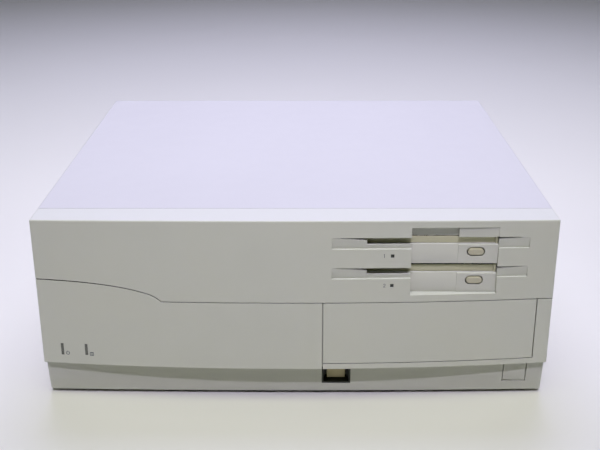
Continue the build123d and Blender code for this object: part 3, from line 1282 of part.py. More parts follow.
with BuildPart() as power_harness:
    with BuildLine() as h1:
        FilletPolyline((40.0, 85.5, 118.0), (40.0, 60.0, 118.0), (70.0, 56.0, 120.0), (139.5, 54.0, 120.0),
                       (139.5, 0.0, 120.0), radius=9.0)
    with BuildSketch(Plane(origin=(40.0, 85.5, 118.0), z_dir=(0, -1, 0))):
        Circle(3.2)
    sweep(path=h1.wires()[0])
    with BuildLine() as h2:
        FilletPolyline((40.0, 85.5, 60.0), (40.0, 77.0, 60.0), (15.0, 77.0, 58.0), (6.0, 77.0, 32.0), (4.0, 77.0, MB_Z + 12.0),
                       radius=4.0)
    with BuildSketch(Plane(origin=(40.0, 85.5, 60.0), z_dir=(0, -1, 0))):
        Circle(3.2)
    sweep(path=h2.wires()[0])
    with Locations((4.0, 77.0, MB_Z + 6.0)):
        Box(10.0, 40.0, 12.0)
power_harness.part.label = "power_harness"
export_step(power_harness.part, "parts/power_harness.step")
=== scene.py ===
import json
import math

import bmesh
import bpy
from mathutils import Matrix, Vector
from mathutils.bvhtree import BVHTree


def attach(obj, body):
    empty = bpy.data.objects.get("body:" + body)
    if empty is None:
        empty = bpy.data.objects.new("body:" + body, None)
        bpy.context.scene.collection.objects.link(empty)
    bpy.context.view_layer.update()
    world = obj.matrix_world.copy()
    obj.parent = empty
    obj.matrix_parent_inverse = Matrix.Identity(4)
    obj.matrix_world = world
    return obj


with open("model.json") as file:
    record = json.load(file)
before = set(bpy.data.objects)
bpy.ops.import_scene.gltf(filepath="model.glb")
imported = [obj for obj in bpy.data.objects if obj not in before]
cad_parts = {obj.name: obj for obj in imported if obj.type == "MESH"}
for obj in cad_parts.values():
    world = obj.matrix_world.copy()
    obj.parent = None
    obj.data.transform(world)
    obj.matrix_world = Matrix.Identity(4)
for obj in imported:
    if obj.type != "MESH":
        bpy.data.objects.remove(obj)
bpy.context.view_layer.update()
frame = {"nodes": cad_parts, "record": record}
scene = bpy.context.scene
NODES = frame["nodes"]


# ================================================================ camera, floor, light
def look(pitch, yaw, roll):
    """Rotation of a camera that looks along +Y, turned by yaw, tipped down by pitch and rolled."""
    p, w, r = math.radians(pitch), math.radians(yaw), math.radians(roll)
    flat = Vector((math.sin(w), math.cos(w), 0))
    right = Vector((math.cos(w), -math.sin(w), 0))
    z = Vector((0, 0, 1))
    fwd = flat * math.cos(p) - z * math.sin(p)
    up = flat * math.sin(p) + z * math.cos(p)
    x = right * math.cos(r) + up * math.sin(r)
    y = -right * math.sin(r) + up * math.cos(r)
    return Matrix((x, y, -fwd)).transposed()


cam_data = bpy.data.cameras.new("camera")
cam = bpy.data.objects.new("camera", cam_data)
scene.collection.objects.link(cam)
cam_data.sensor_fit = "HORIZONTAL"
cam_data.sensor_width = 36.0
cam_data.lens = 795.6 / 600.0 * 36.0
cam_data.clip_start = 0.01
cam_data.clip_end = 50.0
cam.matrix_world = Matrix.Translation((0.0062, -0.6840, 0.4048)) @ look(25.54, -0.22, -0.10).to_4x4()
scene.camera = cam

scene.view_settings.view_transform = "Standard"
scene.view_settings.look = "None"
scene.view_settings.exposure = 0.0
scene.view_settings.gamma = 1.0


def area_light(name, place, aim, size_x, size_y, power, colour, spread=180.0):
    data = bpy.data.lights.new(name, "AREA")
    data.shape = "RECTANGLE"
    data.size, data.size_y = size_x, size_y
    data.energy = power
    data.color = colour
    data.spread = math.radians(spread)
    o = bpy.data.objects.new(name, data)
    scene.collection.objects.link(o)
    o.location = place
    o.rotation_euler = (Vector(aim) - Vector(place)).to_track_quat("-Z", "Y").to_euler()
    return o


def overhead(elevation, distance, aim):
    """A place above the object: 90 is straight up, less leans to the front and more to the back."""
    e = math.radians(elevation)
    return Vector((0, -math.cos(e), math.sin(e))) * distance + Vector(aim)


# a long, narrow softbox over the front edge, a broad one straight above and one over the back, and weak fills all round
AIM = (0, 0.15, 0.1)
area_light("key_light", overhead(55.5, 2.70, AIM), AIM, 0.8, 0.10, 2.51, (0.858, 0.795, 1.0), 40)
area_light("top_light", overhead(76, 3.0, (0, 0.1, 0.1)), (0, 0.1, 0.1), 2.6, 1.0, 8.9, (0.925, 1.0, 0.635), 90)
area_light("back_light", overhead(122, 3.0, (0, 0.1, 0.1)), (0, 0.1, 0.1), 2.4, 1.6, 17.2, (0.629, 0.604, 1.0), 80)
area_light("left_fill", (-2.3, 0.2, 0.9), (0, 0.1, 0.05), 1.2, 1.0, 0.86, (0.99, 1.0, 0.83), 70)
area_light("right_fill", (2.3, 0.2, 0.9), (0, 0.1, 0.05), 1.2, 1.0, 0.90, (0.99, 1.0, 0.83), 70)

world = bpy.data.worlds.new("studio")
scene.world = world
world.use_nodes = True
bg = world.node_tree.nodes["Background"]
bg.inputs["Color"].default_value = (0.98, 1.0, 0.76, 1)
bg.inputs["Strength"].default_value = 0.035


# ================================================================ node helpers
class Graph:
    """A small helper that adds and links shader nodes of one material."""

    def __init__(self, name):
        self.mat = bpy.data.materials.new(name)
        self.mat.use_nodes = True
        self.nt = self.mat.node_tree
        self.nt.nodes.clear()
        self.out = self.add("ShaderNodeOutputMaterial")
        self.bsdf = self.add("ShaderNodeBsdfPrincipled")
        self.link(self.bsdf, "BSDF", self.out, "Surface")
        self.coord = self.add("ShaderNodeTexCoord")

    def add(self, kind, **values):
        n = self.nt.nodes.new(kind)
        for k, v in values.items():
            setattr(n, k, v)
        return n

    def link(self, a, ao, b, bi):
        self.nt.links.new(a.outputs[ao], b.inputs[bi])

    def set(self, n, **values):
        for k, v in values.items():
            n.inputs[k.replace("_", " ")].default_value = v
        return n

    def mapped(self, scale=(1, 1, 1), rot=(0, 0, 0), loc=(0, 0, 0)):
        m = self.add("ShaderNodeMapping")
        m.inputs["Scale"].default_value = scale
        m.inputs["Rotation"].default_value = rot
        m.inputs["Location"].default_value = loc
        self.link(self.coord, "Object", m, "Vector")
        return m

    def noise(self, scale, detail=3.0, rough=0.55, vector=None, distortion=0.0):
        n = self.add("ShaderNodeTexNoise")
        n.inputs["Scale"].default_value = scale
        n.inputs["Detail"].default_value = detail
        n.inputs["Roughness"].default_value = rough
        n.inputs["Distortion"].default_value = distortion
        if vector is None:
            self.link(self.coord, "Object", n, "Vector")
        else:
            self.link(vector, "Vector", n, "Vector")
        return n

    def voronoi(self, scale, feature="F1", vector=None, randomness=1.0):
        n = self.add("ShaderNodeTexVoronoi")
        n.feature = feature
        n.inputs["Scale"].default_value = scale
        n.inputs["Randomness"].default_value = randomness
        if vector is None:
            self.link(self.coord, "Object", n, "Vector")
        else:
            self.link(vector, "Vector", n, "Vector")
        return n

    def ramp(self, source, out, stops, interpolation="LINEAR"):
        r = self.add("ShaderNodeValToRGB")
        r.color_ramp.interpolation = interpolation
        while len(r.color_ramp.elements) < len(stops):
            r.color_ramp.elements.new(0.5)
        for e, (pos, col) in zip(r.color_ramp.elements, stops):
            e.position = pos
            e.color = (*col, 1) if len(col) == 3 else col
        self.link(source, out, r, "Fac")
        return r

    def span(self, source, out, lo, hi, a=0.0, b=1.0):
        m = self.add("ShaderNodeMapRange")
        m.inputs["From Min"].default_value = lo
        m.inputs["From Max"].default_value = hi
        m.inputs["To Min"].default_value = a
        m.inputs["To Max"].default_value = b
        self.link(source, out, m, "Value")
        return m

    def math(self, op, a, b=None, clamp=False):
        m = self.add("ShaderNodeMath", operation=op, use_clamp=clamp)
        for i, v in enumerate((a, b)):
            if v is None:
                continue
            if isinstance(v, (int, float)):
                m.inputs[i].default_value = v
            else:
                self.nt.links.new(v, m.inputs[i])
        return m

    def mix(self, fac, a, b, blend="MIX"):
        m = self.add("ShaderNodeMix", data_type="RGBA", blend_type=blend)
        m.clamp_factor = True
        if isinstance(fac, (int, float)):
            m.inputs[0].default_value = fac
        else:
            self.nt.links.new(fac, m.inputs[0])
        for i, v in ((6, a), (7, b)):
            if isinstance(v, (tuple, list)):
                m.inputs[i].default_value = (*v, 1) if len(v) == 3 else v
            else:
                self.nt.links.new(v, m.inputs[i])
        return m.outputs[2]

    def bump(self, height, strength, distance, normal=None):
        b = self.add("ShaderNodeBump")
        b.inputs["Strength"].default_value = strength
        b.inputs["Distance"].default_value = distance
        self.nt.links.new(height, b.inputs["Height"])
        if normal is not None:
            self.nt.links.new(normal, b.inputs["Normal"])
        return b.outputs["Normal"]

    def bevel(self, radius, samples=6):
        b = self.add("ShaderNodeBevel", samples=samples)
        b.inputs["Radius"].default_value = radius
        return b.outputs["Normal"]

    def colour(self, socket):
        self.nt.links.new(socket, self.bsdf.inputs["Base Color"])

    def roughness(self, socket):
        self.nt.links.new(socket, self.bsdf.inputs["Roughness"])

    def normal(self, socket):
        self.nt.links.new(socket, self.bsdf.inputs["Normal"])


def srgb(r, g, b):
    def lin(c):
        c /= 255.0
        return c / 12.92 if c <= 0.04045 else ((c + 0.055) / 1.055) ** 2.4

    return (lin(r), lin(g), lin(b))


def tone(c, k):
    return tuple(min(1.0, v * k) for v in c)


# ================================================================ materials
def moulded_plastic(name, base, grain=0.00045, rough=0.48, bump=0.35, dust_and_shade=0.05, edge=0.00025, upface_sheen=None, posts=None, seam_shade_span=None):
    """Injection-moulded case plastic: spark-eroded grain, faint ageing clouds, painted shade in the corners in patches
    like dust, rubbed edges.
    The tint for faces that look up is a painted sheen, lighter and cooler as light from above makes them; the posts
    tint is for the two posts at the ends of a drive's slot, which have the colour of the dust flap between them; the
    seam span is the stretch in X over which the painted near-black shade in the seams thins out."""
    g = Graph(name)
    cloud = g.noise(9.0, 3.0, 0.6)
    cloud2 = g.noise(46.0, 4.0, 0.6)
    fine = g.noise(1.0 / grain, 2.0, 0.6)
    aged = g.ramp(cloud, "Fac", [(0.30, tone(base, 0.975)), (0.5, base), (0.72, (min(1, base[0] * 1.015), base[1] * 1.008, base[2] * 0.985))])
    speck = g.span(cloud2, "Fac", 0.35, 0.7, 0.0, 0.06)
    col = g.mix(speck.outputs[0], aged.outputs["Color"], tone(base, 0.88))
    grain_tint = g.span(fine, "Fac", 0.3, 0.75, 0.0, 0.10)
    col = g.mix(grain_tint.outputs[0], col, tone(base, 0.93))
    # painted sheen: faces that look up shift toward a lighter, cooler tint, standing in for light from above
    if upface_sheen:
        axes = g.add("ShaderNodeSeparateXYZ")
        g.link(g.coord, "Normal", axes, "Vector")
        up = g.span(axes, "Z", 0.70, 0.96)
        painted_sheen = g.math("MULTIPLY", up.outputs[0], g.span(cloud2, "Fac", 0.25, 0.6, 1.0, 0.9).outputs[0], clamp=True)
        col = g.mix(painted_sheen.outputs[0], col, upface_sheen)
    if posts:
        place = g.add("ShaderNodeSeparateXYZ")
        g.link(g.coord, "Object", place, "Vector")
        right = g.math("GREATER_THAN", place.outputs["X"], 0.1530)
        left = g.math("LESS_THAN", place.outputs["X"], 0.0550)
        side = g.math("ADD", right.outputs[0], left.outputs[0])
        lower = g.math("COMPARE", place.outputs["Z"], 0.11065)
        lower.inputs[2].default_value = 0.00312
        upper = g.math("COMPARE", place.outputs["Z"], 0.13365)
        upper.inputs[2].default_value = 0.00312
        height = g.math("ADD", lower.outputs[0], upper.outputs[0])
        col = g.mix(g.math("MULTIPLY", side.outputs[0], height.outputs[0], clamp=True).outputs[0], col, posts)
    # painted shade where surfaces meet: darker where the AO node finds surfaces close by, in patches like dust
    ao = g.add("ShaderNodeAmbientOcclusion", samples=6, only_local=False)
    ao.inputs["Distance"].default_value = 0.004
    spread = g.noise(120.0, 4.0, 0.65)
    corner = g.math("SUBTRACT", 1.0, ao.outputs["AO"])
    corner = g.math("MULTIPLY", corner.outputs[0], g.span(spread, "Fac", 0.25, 0.75, 0.45, 1.3).outputs[0])
    corner = g.math("MULTIPLY", corner.outputs[0], dust_and_shade, clamp=True)
    col = g.mix(corner.outputs[0], col, (base[0] * 0.45, base[1] * 0.42, base[2] * 0.34))
    # painted shade: the deepest seams go near-black, at full strength at the low end of the X span and down to 0.15
    # past its high end
    if seam_shade_span:
        along = g.add("ShaderNodeSeparateXYZ")
        g.link(g.coord, "Object", along, "Vector")
        deep = g.span(g.math("SUBTRACT", 1.0, ao.outputs["AO"]), "Value", 0.35, 0.65)
        seam_shade_mask = g.math("MULTIPLY", deep.outputs[0], g.span(along, "X", seam_shade_span[0], seam_shade_span[1], 1.0, 0.15).outputs[0], clamp=True)
        col = g.mix(seam_shade_mask.outputs[0], col, (base[0] * 0.050, base[1] * 0.046, base[2] * 0.036))
    g.colour(col)
    r = g.span(cloud2, "Fac", 0.3, 0.7, rough - 0.04, rough + 0.05)
    r2 = g.math("ADD", r.outputs[0], g.span(fine, "Fac", 0.3, 0.7, -0.03, 0.03).outputs[0], clamp=True)
    g.roughness(r2.outputs[0])
    g.bsdf.inputs["IOR"].default_value = 1.46
    g.bsdf.inputs["Specular IOR Level"].default_value = 0.42
    smooth = g.bevel(edge) if edge else None
    pits = g.voronoi(1.0 / (grain * 1.8), "F1")
    n = g.bump(pits.outputs["Distance"], bump * 0.35, grain * 0.25, smooth)
    n = g.bump(fine.outputs["Fac"], bump, grain * 0.25, n)
    g.normal(n)
    return g.mat


def textured_paint(name, base, rough=0.50):
    """Baked texture paint on sheet steel: low orange-peel lumps, dust blotches, painted shade in the corners, faint
    hairline marks.
    """
    g = Graph(name)
    cloud = g.noise(5.0, 3.0, 0.6)
    mid = g.noise(60.0, 4.0, 0.6)
    lumps = g.noise(900.0, 2.0, 0.5)
    peel = g.voronoi(1400.0, "SMOOTH_F1")
    col = g.ramp(cloud, "Fac", [(0.32, tone(base, 0.98)), (0.5, base), (0.7, tone(base, 1.012))]).outputs["Color"]
    col = g.mix(g.span(mid, "Fac", 0.4, 0.75, 0.0, 0.05).outputs[0], col, tone(base, 0.90))
    col = g.mix(g.span(lumps, "Fac", 0.35, 0.75, 0.0, 0.07).outputs[0], col, tone(base, 0.92))
    # hairline marks from things slid over the lid
    way = g.mapped(scale=(6.0, 260.0, 6.0), rot=(0, 0, 0.5))
    marks = g.noise(9.0, 5.0, 0.7, vector=way)
    mark = g.span(marks, "Fac", 0.66, 0.74, 0.0, 0.10)
    col = g.mix(mark.outputs[0], col, tone(base, 1.06))
    # painted shade in the corners: darker where the AO node finds surfaces close by
    ao = g.add("ShaderNodeAmbientOcclusion", samples=6, only_local=False)
    ao.inputs["Distance"].default_value = 0.004
    corner = g.math("SUBTRACT", 1.0, ao.outputs["AO"])
    corner = g.math("MULTIPLY", corner.outputs[0], 0.12, clamp=True)
    col = g.mix(corner.outputs[0], col, (base[0] * 0.45, base[1] * 0.42, base[2] * 0.36))
    g.colour(col)
    r = g.span(mid, "Fac", 0.3, 0.7, rough - 0.04, rough + 0.06)
    r2 = g.math("SUBTRACT", r.outputs[0], mark.outputs[0], clamp=True)
    g.roughness(r2.outputs[0])
    g.bsdf.inputs["IOR"].default_value = 1.5
    g.bsdf.inputs["Specular IOR Level"].default_value = 0.45
    n = g.bump(peel.outputs["Distance"], 0.30, 0.0002, g.bevel(0.0005))
    n = g.bump(lumps.outputs["Fac"], 0.22, 0.0003, n)
    g.normal(n)
    return g.mat


def zinc_sheet(name, base, rough=0.38, spangle=55.0, edge=0.0003):
    """Zinc-plated sheet steel: soft crystal clouds, rolling lines, small stains."""
    g = Graph(name)
    crystals = g.voronoi(spangle, "F1")
    cells = g.noise(spangle * 2.2, 3.0, 0.6)
    stain = g.noise(14.0, 5.0, 0.62)
    way = g.mapped(scale=(4.0, 900.0, 900.0))
    rolled = g.noise(3.0, 3.0, 0.6, vector=way)
    tint = g.mix(0.5, crystals.outputs["Color"], cells.outputs["Color"])
    bw = g.add("ShaderNodeRGBToBW")
    g.nt.links.new(tint, bw.inputs[0])
    col = g.ramp(bw, "Val", [(0.25, tone(base, 0.86)), (0.5, base), (0.75, tone(base, 1.08))]).outputs["Color"]
    col = g.mix(g.span(stain, "Fac", 0.55, 0.8, 0.0, 0.30).outputs[0], col, (base[0] * 0.72, base[1] * 0.70, base[2] * 0.64))
    g.colour(col)
    g.bsdf.inputs["Metallic"].default_value = 1.0
    r = g.math("ADD", g.span(bw, "Val", 0.2, 0.8, rough - 0.07, rough + 0.08).outputs[0],
               g.span(stain, "Fac", 0.45, 0.8, 0.0, 0.15).outputs[0], clamp=True)
    g.roughness(r.outputs[0])
    n = g.bump(rolled.outputs["Fac"], 0.10, 0.0002, g.bevel(edge))
    n = g.bump(cells.outputs["Fac"], 0.06, 0.0004, n)
    g.normal(n)
    return g.mat


def machined(name, base, rough=0.28, scale=700.0, axis="Z", edge=0.0002):
    """Turned or cast metal with fine tool lines."""
    g = Graph(name)
    stretch = {"X": (2, 900, 900), "Y": (900, 2, 900), "Z": (900, 900, 2)}[axis]
    lines = g.noise(1.0, 3.0, 0.6, vector=g.mapped(scale=stretch))
    blot = g.noise(scale * 0.15, 4.0, 0.6)
    col = g.ramp(blot, "Fac", [(0.3, tone(base, 0.86)), (0.55, base), (0.8, tone(base, 1.06))]).outputs["Color"]
    g.colour(col)
    g.bsdf.inputs["Metallic"].default_value = 1.0
    g.roughness(g.span(blot, "Fac", 0.3, 0.7, rough - 0.06, rough + 0.10).outputs[0])
    g.normal(g.bump(lines.outputs["Fac"], 0.18, 0.0001, g.bevel(edge)))
    return g.mat


def connector(name, cx, cz, half_x, half_z, base=(0.60, 0.58, 0.53), core=(0.016, 0.017, 0.021)):
    """Nickel-plated connector shell round a dark moulded core; the core fills a rectangle about (cx, cz)."""
    g = Graph(name)
    place = g.add("ShaderNodeSeparateXYZ")
    g.link(g.coord, "Object", place, "Vector")
    wide = g.math("COMPARE", place.outputs["X"], cx)
    wide.inputs[2].default_value = half_x
    high = g.math("COMPARE", place.outputs["Z"], cz)
    high.inputs[2].default_value = half_z
    inside = g.math("MULTIPLY", wide.outputs[0], high.outputs[0], clamp=True)
    blot = g.noise(110.0, 4.0, 0.6)
    fine = g.noise(1500.0, 2.0, 0.6)
    plated = g.ramp(blot, "Fac", [(0.3, tone(base, 0.80)), (0.55, base), (0.8, tone(base, 1.10))]).outputs["Color"]
    moulded = g.ramp(blot, "Fac", [(0.3, tone(core, 0.8)), (0.7, tone(core, 1.3))]).outputs["Color"]
    g.colour(g.mix(inside.outputs[0], plated, moulded))
    g.nt.links.new(g.math("SUBTRACT", 1.0, inside.outputs[0], clamp=True).outputs[0], g.bsdf.inputs["Metallic"])
    r = g.span(blot, "Fac", 0.3, 0.7, 0.20, 0.34)
    g.roughness(g.math("ADD", r.outputs[0], g.math("MULTIPLY", inside.outputs[0], 0.18).outputs[0], clamp=True).outputs[0])
    g.normal(g.bump(fine.outputs["Fac"], 0.10, 0.0001, g.bevel(0.0003)))
    return g.mat


def rubber(name, base):
    g = Graph(name)
    blot = g.noise(160.0, 4.0, 0.6)
    fine = g.noise(1800.0, 2.0, 0.6)
    col = g.ramp(blot, "Fac", [(0.3, tone(base, 0.8)), (0.6, base), (0.85, tone(base, 1.7))]).outputs["Color"]
    g.colour(col)
    g.roughness(g.span(blot, "Fac", 0.3, 0.7, 0.70, 0.88).outputs[0])
    g.normal(g.bump(fine.outputs["Fac"], 0.4, 0.0002, g.bevel(0.0004)))
    return g.mat


def circuit_laminate(name, base, track):
    """Lacquered laminate: copper tracks under the lacquer, tinned vias, small print-like blocks left out."""
    g = Graph(name)
    brick = g.add("ShaderNodeTexBrick")
    brick.offset = 0.37
    brick.inputs["Scale"].default_value = 160.0
    brick.inputs["Mortar Size"].default_value = 0.035
    brick.inputs["Brick Width"].default_value = 2.7
    brick.inputs["Row Height"].default_value = 0.32
    g.link(g.coord, "Object", brick, "Vector")
    vias = g.voronoi(330.0, "F1", randomness=0.8)
    region = g.noise(28.0, 2.0, 0.5)
    dense = g.span(region, "Fac", 0.46, 0.50, 0.0, 1.0)
    lines = g.math("MULTIPLY", brick.outputs["Fac"], dense.outputs[0], clamp=True)
    cloud = g.noise(35.0, 3.0, 0.6)
    col = g.ramp(cloud, "Fac", [(0.35, tone(base, 0.85)), (0.65, tone(base, 1.15))]).outputs["Color"]
    col = g.mix(lines.outputs[0], col, track)
    dot = g.span(vias, "Distance", 0.10, 0.14, 1.0, 0.0)
    col = g.mix(dot.outputs[0], col, (0.62, 0.60, 0.52))
    g.colour(col)
    g.roughness(g.span(cloud, "Fac", 0.3, 0.7, 0.26, 0.40).outputs[0])
    g.bsdf.inputs["IOR"].default_value = 1.5
    h = g.math("ADD", lines.outputs[0], dot.outputs[0])
    g.normal(g.bump(h.outputs[0], 0.25, 0.0001, g.bevel(0.0002)))
    return g.mat


def sleeved(name, base, second, scale=70.0):
    """Film sleeves and cast epoxy of power parts, two tones by place."""
    g = Graph(name)
    cell = g.voronoi(scale * 0.4, "F1")
    bw = g.add("ShaderNodeRGBToBW")
    g.link(cell, "Color", bw, "Color")
    fine = g.noise(500.0, 3.0, 0.6)
    col = g.ramp(bw, "Val", [(0.0, base), (0.5, base), (0.55, second), (1.0, tone(second, 1.1))], "LINEAR").outputs["Color"]
    col = g.mix(g.span(fine, "Fac", 0.4, 0.7, 0.0, 0.15).outputs[0], col, tone(base, 0.6))
    g.colour(col)
    g.roughness(g.span(fine, "Fac", 0.3, 0.7, 0.32, 0.50).outputs[0])
    g.normal(g.bump(fine.outputs["Fac"], 0.12, 0.0002, g.bevel(0.0005)))
    return g.mat


def ribbon(name, base):
    """Flat cable: parallel cores under a grey sleeve."""
    g = Graph(name)
    wave = g.add("ShaderNodeTexWave", wave_type="BANDS", bands_direction="Y")
    wave.inputs["Scale"].default_value = 123.0
    wave.inputs["Distortion"].default_value = 0.0
    g.link(g.coord, "Object", wave, "Vector")
    dust = g.noise(90.0, 4.0, 0.6)
    col = g.ramp(wave, "Fac", [(0.0, tone(base, 0.62)), (0.35, base), (1.0, tone(base, 1.12))]).outputs["Color"]
    col = g.mix(g.span(dust, "Fac", 0.45, 0.8, 0.0, 0.2).outputs[0], col, tone(base, 0.7))
    g.colour(col)
    g.roughness(g.span(dust, "Fac", 0.3, 0.7, 0.45, 0.6).outputs[0])
    g.normal(g.bump(wave.outputs["Fac"], 0.6, 0.0003))
    return g.mat


def tinted_lamp(name, base):
    """Dark tinted lens of an unlit lamp."""
    g = Graph(name)
    cloud = g.noise(600.0, 3.0, 0.6)
    col = g.ramp(cloud, "Fac", [(0.3, tone(base, 0.8)), (0.7, tone(base, 1.25))]).outputs["Color"]
    g.colour(col)
    g.roughness(g.span(cloud, "Fac", 0.3, 0.7, 0.16, 0.26).outputs[0])
    g.bsdf.inputs["IOR"].default_value = 1.49
    g.bsdf.inputs["Transmission Weight"].default_value = 0.15
    g.normal(g.bump(cloud.outputs["Fac"], 0.05, 0.0002, g.bevel(0.0002)))
    return g.mat


CASE = srgb(207, 207, 210)
FRONT = srgb(200, 202, 190)
# painted sheen: the lighter, cooler tint that faces looking up get in place of light from above
UPFACE_SHEEN = srgb(215, 217, 213)
FASCIA = srgb(202, 203, 193)
BEIGE = srgb(197, 193, 169)
DUST_FLAP = srgb(205, 204, 170)

M = {
    "case_paint": textured_paint("case_paint_look", CASE),
    # painted sheen on faces that look up; painted near-black seam shade, full left of x -0.160 and thinning out to x
    # -0.085
    "front_plastic": moulded_plastic("front_plastic_look", FRONT, upface_sheen=UPFACE_SHEEN, seam_shade_span=(-0.160, -0.085)),
    # painted shade: a darker copy (0.94) of the front plastic, standing in for the shade on the plinth under the
    # overhang; the front flap shares it
    "plinth_shaded_plastic": moulded_plastic("plinth_plastic_look", tone(FRONT, 0.94)),
    # painted sheen on the fascia's faces that look up
    "fascia_plastic": moulded_plastic("fascia_plastic_look", FASCIA, rough=0.44, upface_sheen=UPFACE_SHEEN, posts=DUST_FLAP),
    "flap_plastic": moulded_plastic("flap_plastic_look", DUST_FLAP, rough=0.44, edge=0.0003),
    "button_plastic": moulded_plastic("button_plastic_look", BEIGE, rough=0.42, edge=0.0003),
    "dark_plastic": moulded_plastic("dark_plastic_look", srgb(57, 60, 54), rough=0.45, dust_and_shade=0.0, edge=0.0003),
    "fan_plastic": moulded_plastic("fan_plastic_look", srgb(30, 30, 31), rough=0.40, dust_and_shade=0.0, edge=0.0003),
    "foot_rubber": rubber("foot_rubber_look", (0.035, 0.035, 0.037)),
    "zinc_steel": zinc_sheet("zinc_steel_look", (0.66, 0.67, 0.68)),
    "screw_steel": machined("screw_steel_look", (0.70, 0.69, 0.66), 0.30, axis="Y"),
    "spindle_steel": machined("spindle_steel_look", (0.72, 0.72, 0.73), 0.24),
    "carriage_metal": machined("carriage_metal_look", (0.63, 0.64, 0.66), 0.42),
    "board_laminate": circuit_laminate("board_laminate_look", (0.018, 0.105, 0.045), (0.05, 0.22, 0.09)),
    "power_board": circuit_laminate("power_board_look", (0.30, 0.17, 0.05), (0.42, 0.26, 0.09)),
    "power_components": sleeved("power_components_look", (0.03, 0.035, 0.055), (0.30, 0.24, 0.05)),
    "chip_plastic": moulded_plastic("chip_plastic_look", (0.018, 0.018, 0.019), grain=0.0002, rough=0.5, dust_and_shade=0.0, edge=0.0002),
    "chip_ceramic": moulded_plastic("chip_ceramic_look", (0.20, 0.15, 0.16), grain=0.0002, rough=0.55, dust_and_shade=0.0, edge=0.0002),
    "heatsink_metal": machined("heatsink_metal_look", (0.50, 0.51, 0.54), 0.40, axis="Y"),
    "battery_sleeve": sleeved("battery_sleeve_look", (0.03, 0.09, 0.32), (0.035, 0.10, 0.35)),
    "speaker_steel": zinc_sheet("speaker_steel_look", (0.34, 0.34, 0.34), rough=0.5),
    "lamp_plastic": tinted_lamp("lamp_plastic_look", (0.055, 0.062, 0.050)),
    "bar_lamp": tinted_lamp("bar_lamp_look", (0.145, 0.150, 0.125)),
    "power_key": moulded_plastic("power_key_look", srgb(190, 180, 140), rough=0.42, edge=0.0003),
    "ribbon_plastic": ribbon("ribbon_plastic_look", (0.42, 0.43, 0.44)),
    "wire_plastic": moulded_plastic("wire_plastic_look", (0.035, 0.035, 0.04), rough=0.4, dust_and_shade=0.0, edge=0),
}
M["switch_plastic"] = M["dark_plastic"]
M["monitor_port"] = connector("monitor_port_look", -0.170, 0.0206, 0.0117, 0.0031)
M["serial_port"] = connector("serial_port_look", -0.118, 0.0206, 0.0190, 0.0032)
M["printer_port"] = connector("printer_port_look", -0.060, 0.0206, 0.0156, 0.0025)

slot_of = {s["node"]: s["material_slot"] for s in frame["record"]["subparts"]}
special = {"fan_rotor": "fan_plastic", "fan_frame": "fan_plastic", "panel_lamps": "bar_lamp", "power_button": "power_key",
           "plinth": "plinth_shaded_plastic", "front_flap": "plinth_shaded_plastic",
           "monitor_port": "monitor_port", "serial_port": "serial_port", "printer_port": "printer_port",
           "drive_1_flap": "flap_plastic", "drive_2_flap": "flap_plastic"}
for name, o in NODES.items():
    look_of = M[special.get(name, slot_of[name])]
    if not o.material_slots:
        o.data.materials.append(look_of)
    for i in range(len(o.material_slots)):
        o.material_slots[i].material = look_of


# ================================================================ printed marks on the front
INK = Graph("print_ink_look")
_n = INK.noise(700.0, 3.0, 0.6)
INK.colour(INK.ramp(_n, "Fac", [(0.3, srgb(66, 73, 84)), (0.7, srgb(82, 89, 100))]).outputs["Color"])
INK.roughness(INK.span(_n, "Fac", 0.3, 0.7, 0.42, 0.55).outputs[0])
INK.normal(INK.bump(_n.outputs["Fac"], 0.08, 0.0001))


def surface_of(*names):
    """BVH of the outer faces of some CAD nodes."""
    verts, faces = [], []
    for n in names:
        me = NODES[n].data
        k = len(verts)
        verts += [v.co.copy() for v in me.vertices]
        faces += [tuple(i + k for i in p.vertices) for p in me.polygons]
    return BVHTree.FromPolygons(verts, faces)


FRONT_TREE = surface_of("front_bezel", "indicator_panel")


def print_on_front(name, bm, body="root", lift=0.00003, thick=0.00002):
    """A flat drawing in X and Z laid on the front as a thin layer of ink."""
    bmesh.ops.triangulate(bm, faces=bm.faces)
    bmesh.ops.subdivide_edges(bm, edges=[e for e in bm.edges if e.calc_length() > 0.003], cuts=3)
    geo = bmesh.ops.extrude_face_region(bm, geom=list(bm.faces))
    top = {v for v in geo["geom"] if isinstance(v, bmesh.types.BMVert)}
    for v in bm.verts:
        hit, *_ = FRONT_TREE.ray_cast(Vector((v.co.x, -0.5, v.co.z)), Vector((0, 1, 0)))
        y = hit.y if hit is not None else -0.15
        v.co.y = y - (lift if v in top else -thick)
    bmesh.ops.recalc_face_normals(bm, faces=bm.faces)
    me = bpy.data.meshes.new(name)
    bm.to_mesh(me)
    bm.free()
    o = bpy.data.objects.new(name, me)
    scene.collection.objects.link(o)
    me.materials.append(INK.mat)
    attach(o, body)
    return o


def strip(bm, pts, w):
    """A line of even width w through points in X and Z."""
    left, right = [], []
    for i, p in enumerate(pts):
        a = Vector(pts[max(0, i - 1)])
        b = Vector(pts[min(len(pts) - 1, i + 1)])
        d = (b - a).normalized()
        n = Vector((-d.y, d.x)) * w / 2
        left.append(Vector(p) + n)
        right.append(Vector(p) - n)
    vl = [bm.verts.new((p.x, 0, p.y)) for p in left]
    vr = [bm.verts.new((p.x, 0, p.y)) for p in right]
    for i in range(len(pts) - 1):
        bm.faces.new([vl[i], vl[i + 1], vr[i + 1], vr[i]])


def arc(cx, cz, r, a0, a1, n=24):
    return [(cx + r * math.cos(math.radians(a0 + (a1 - a0) * i / n)), cz + r * math.sin(math.radians(a0 + (a1 - a0) * i / n))) for i in range(n + 1)]


def digit_one(cx, cz, h):
    bm = bmesh.new()
    w = h * 0.13
    strip(bm, [(cx, cz - h / 2), (cx, cz + h / 2)], w)
    strip(bm, [(cx - h * 0.20, cz + h * 0.26), (cx - w * 0.1, cz + h * 0.455)], w * 0.9)
    return bm


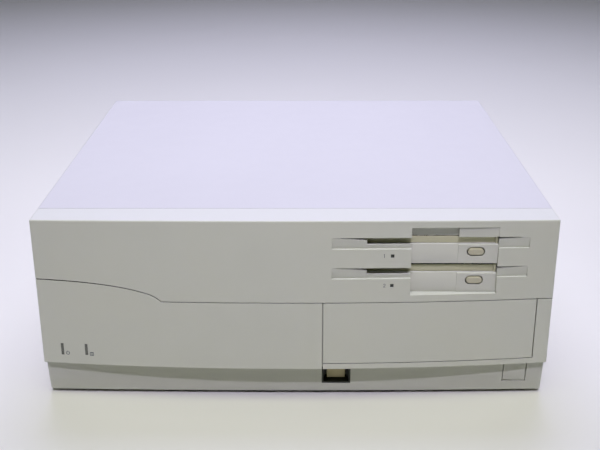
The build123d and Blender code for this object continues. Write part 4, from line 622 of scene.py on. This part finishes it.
def digit_two(cx, cz, h):
    bm = bmesh.new()
    w = h * 0.13
    r = h * 0.24
    top = arc(cx, cz + h / 2 - r - w / 2, r, 165, -40, 16)
    strip(bm, top + [(cx - r * 0.95, cz - h / 2 + w * 0.9)], w)
    strip(bm, [(cx - r * 1.15, cz - h / 2 + w / 2), (cx + r * 1.15, cz - h / 2 + w / 2)], w)
    return bm


print_on_front("drive_digit_one", digit_one(0.0682, 0.1234, 0.0028))
print_on_front("drive_digit_two", digit_two(0.0686, 0.1004, 0.0028))

# power sign beside the first lamp bar, disk sign beside the second
bm = bmesh.new()
cx, cz, r = -0.1801, 0.0414, 0.00130
strip(bm, arc(cx, cz, r, 122, 418, 30), 0.00052)
strip(bm, [(cx, cz + 0.0003), (cx, cz + 0.0019)], 0.00052)
print_on_front("power_sign", bm)
bm = bmesh.new()
cx, cz, s = -0.1607, 0.0414, 0.00130
w = 0.00044
strip(bm, [(cx - s, cz + s), (cx - s, cz - s)], w)
strip(bm, [(cx - s - w / 2, cz - s), (cx + s + w / 2, cz - s)], w)
strip(bm, [(cx + s, cz - s), (cx + s, cz + s)], w)
strip(bm, [(cx + s + w / 2, cz + s), (cx - s - w / 2, cz + s)], w)
strip(bm, [(cx - s * 0.45, cz + s * 0.55), (cx + s * 0.45, cz + s * 0.55)], s * 0.5)
strip(bm, arc(cx, cz - s * 0.35, s * 0.28, 0, 360, 16), w * 0.8)
print_on_front("disk_sign", bm)


# ================================================================ floor
def floor_look():
    g = Graph("floor_look")
    base = srgb(224, 224, 219)
    cloud = g.noise(1.3, 3.0, 0.6)
    g.colour(g.ramp(cloud, "Fac", [(0.3, tone(base, 0.985)), (0.7, tone(base, 1.01))]).outputs["Color"])
    g.bsdf.inputs["Roughness"].default_value = 0.85
    g.bsdf.inputs["Specular IOR Level"].default_value = 0.2
    return g.mat


me = bpy.data.meshes.new("floor")
bm = bmesh.new()
bmesh.ops.create_grid(bm, x_segments=8, y_segments=8, size=6.0)
bm.to_mesh(me)
bm.free()
floor = bpy.data.objects.new("floor", me)
scene.collection.objects.link(floor)
me.materials.append(floor_look())
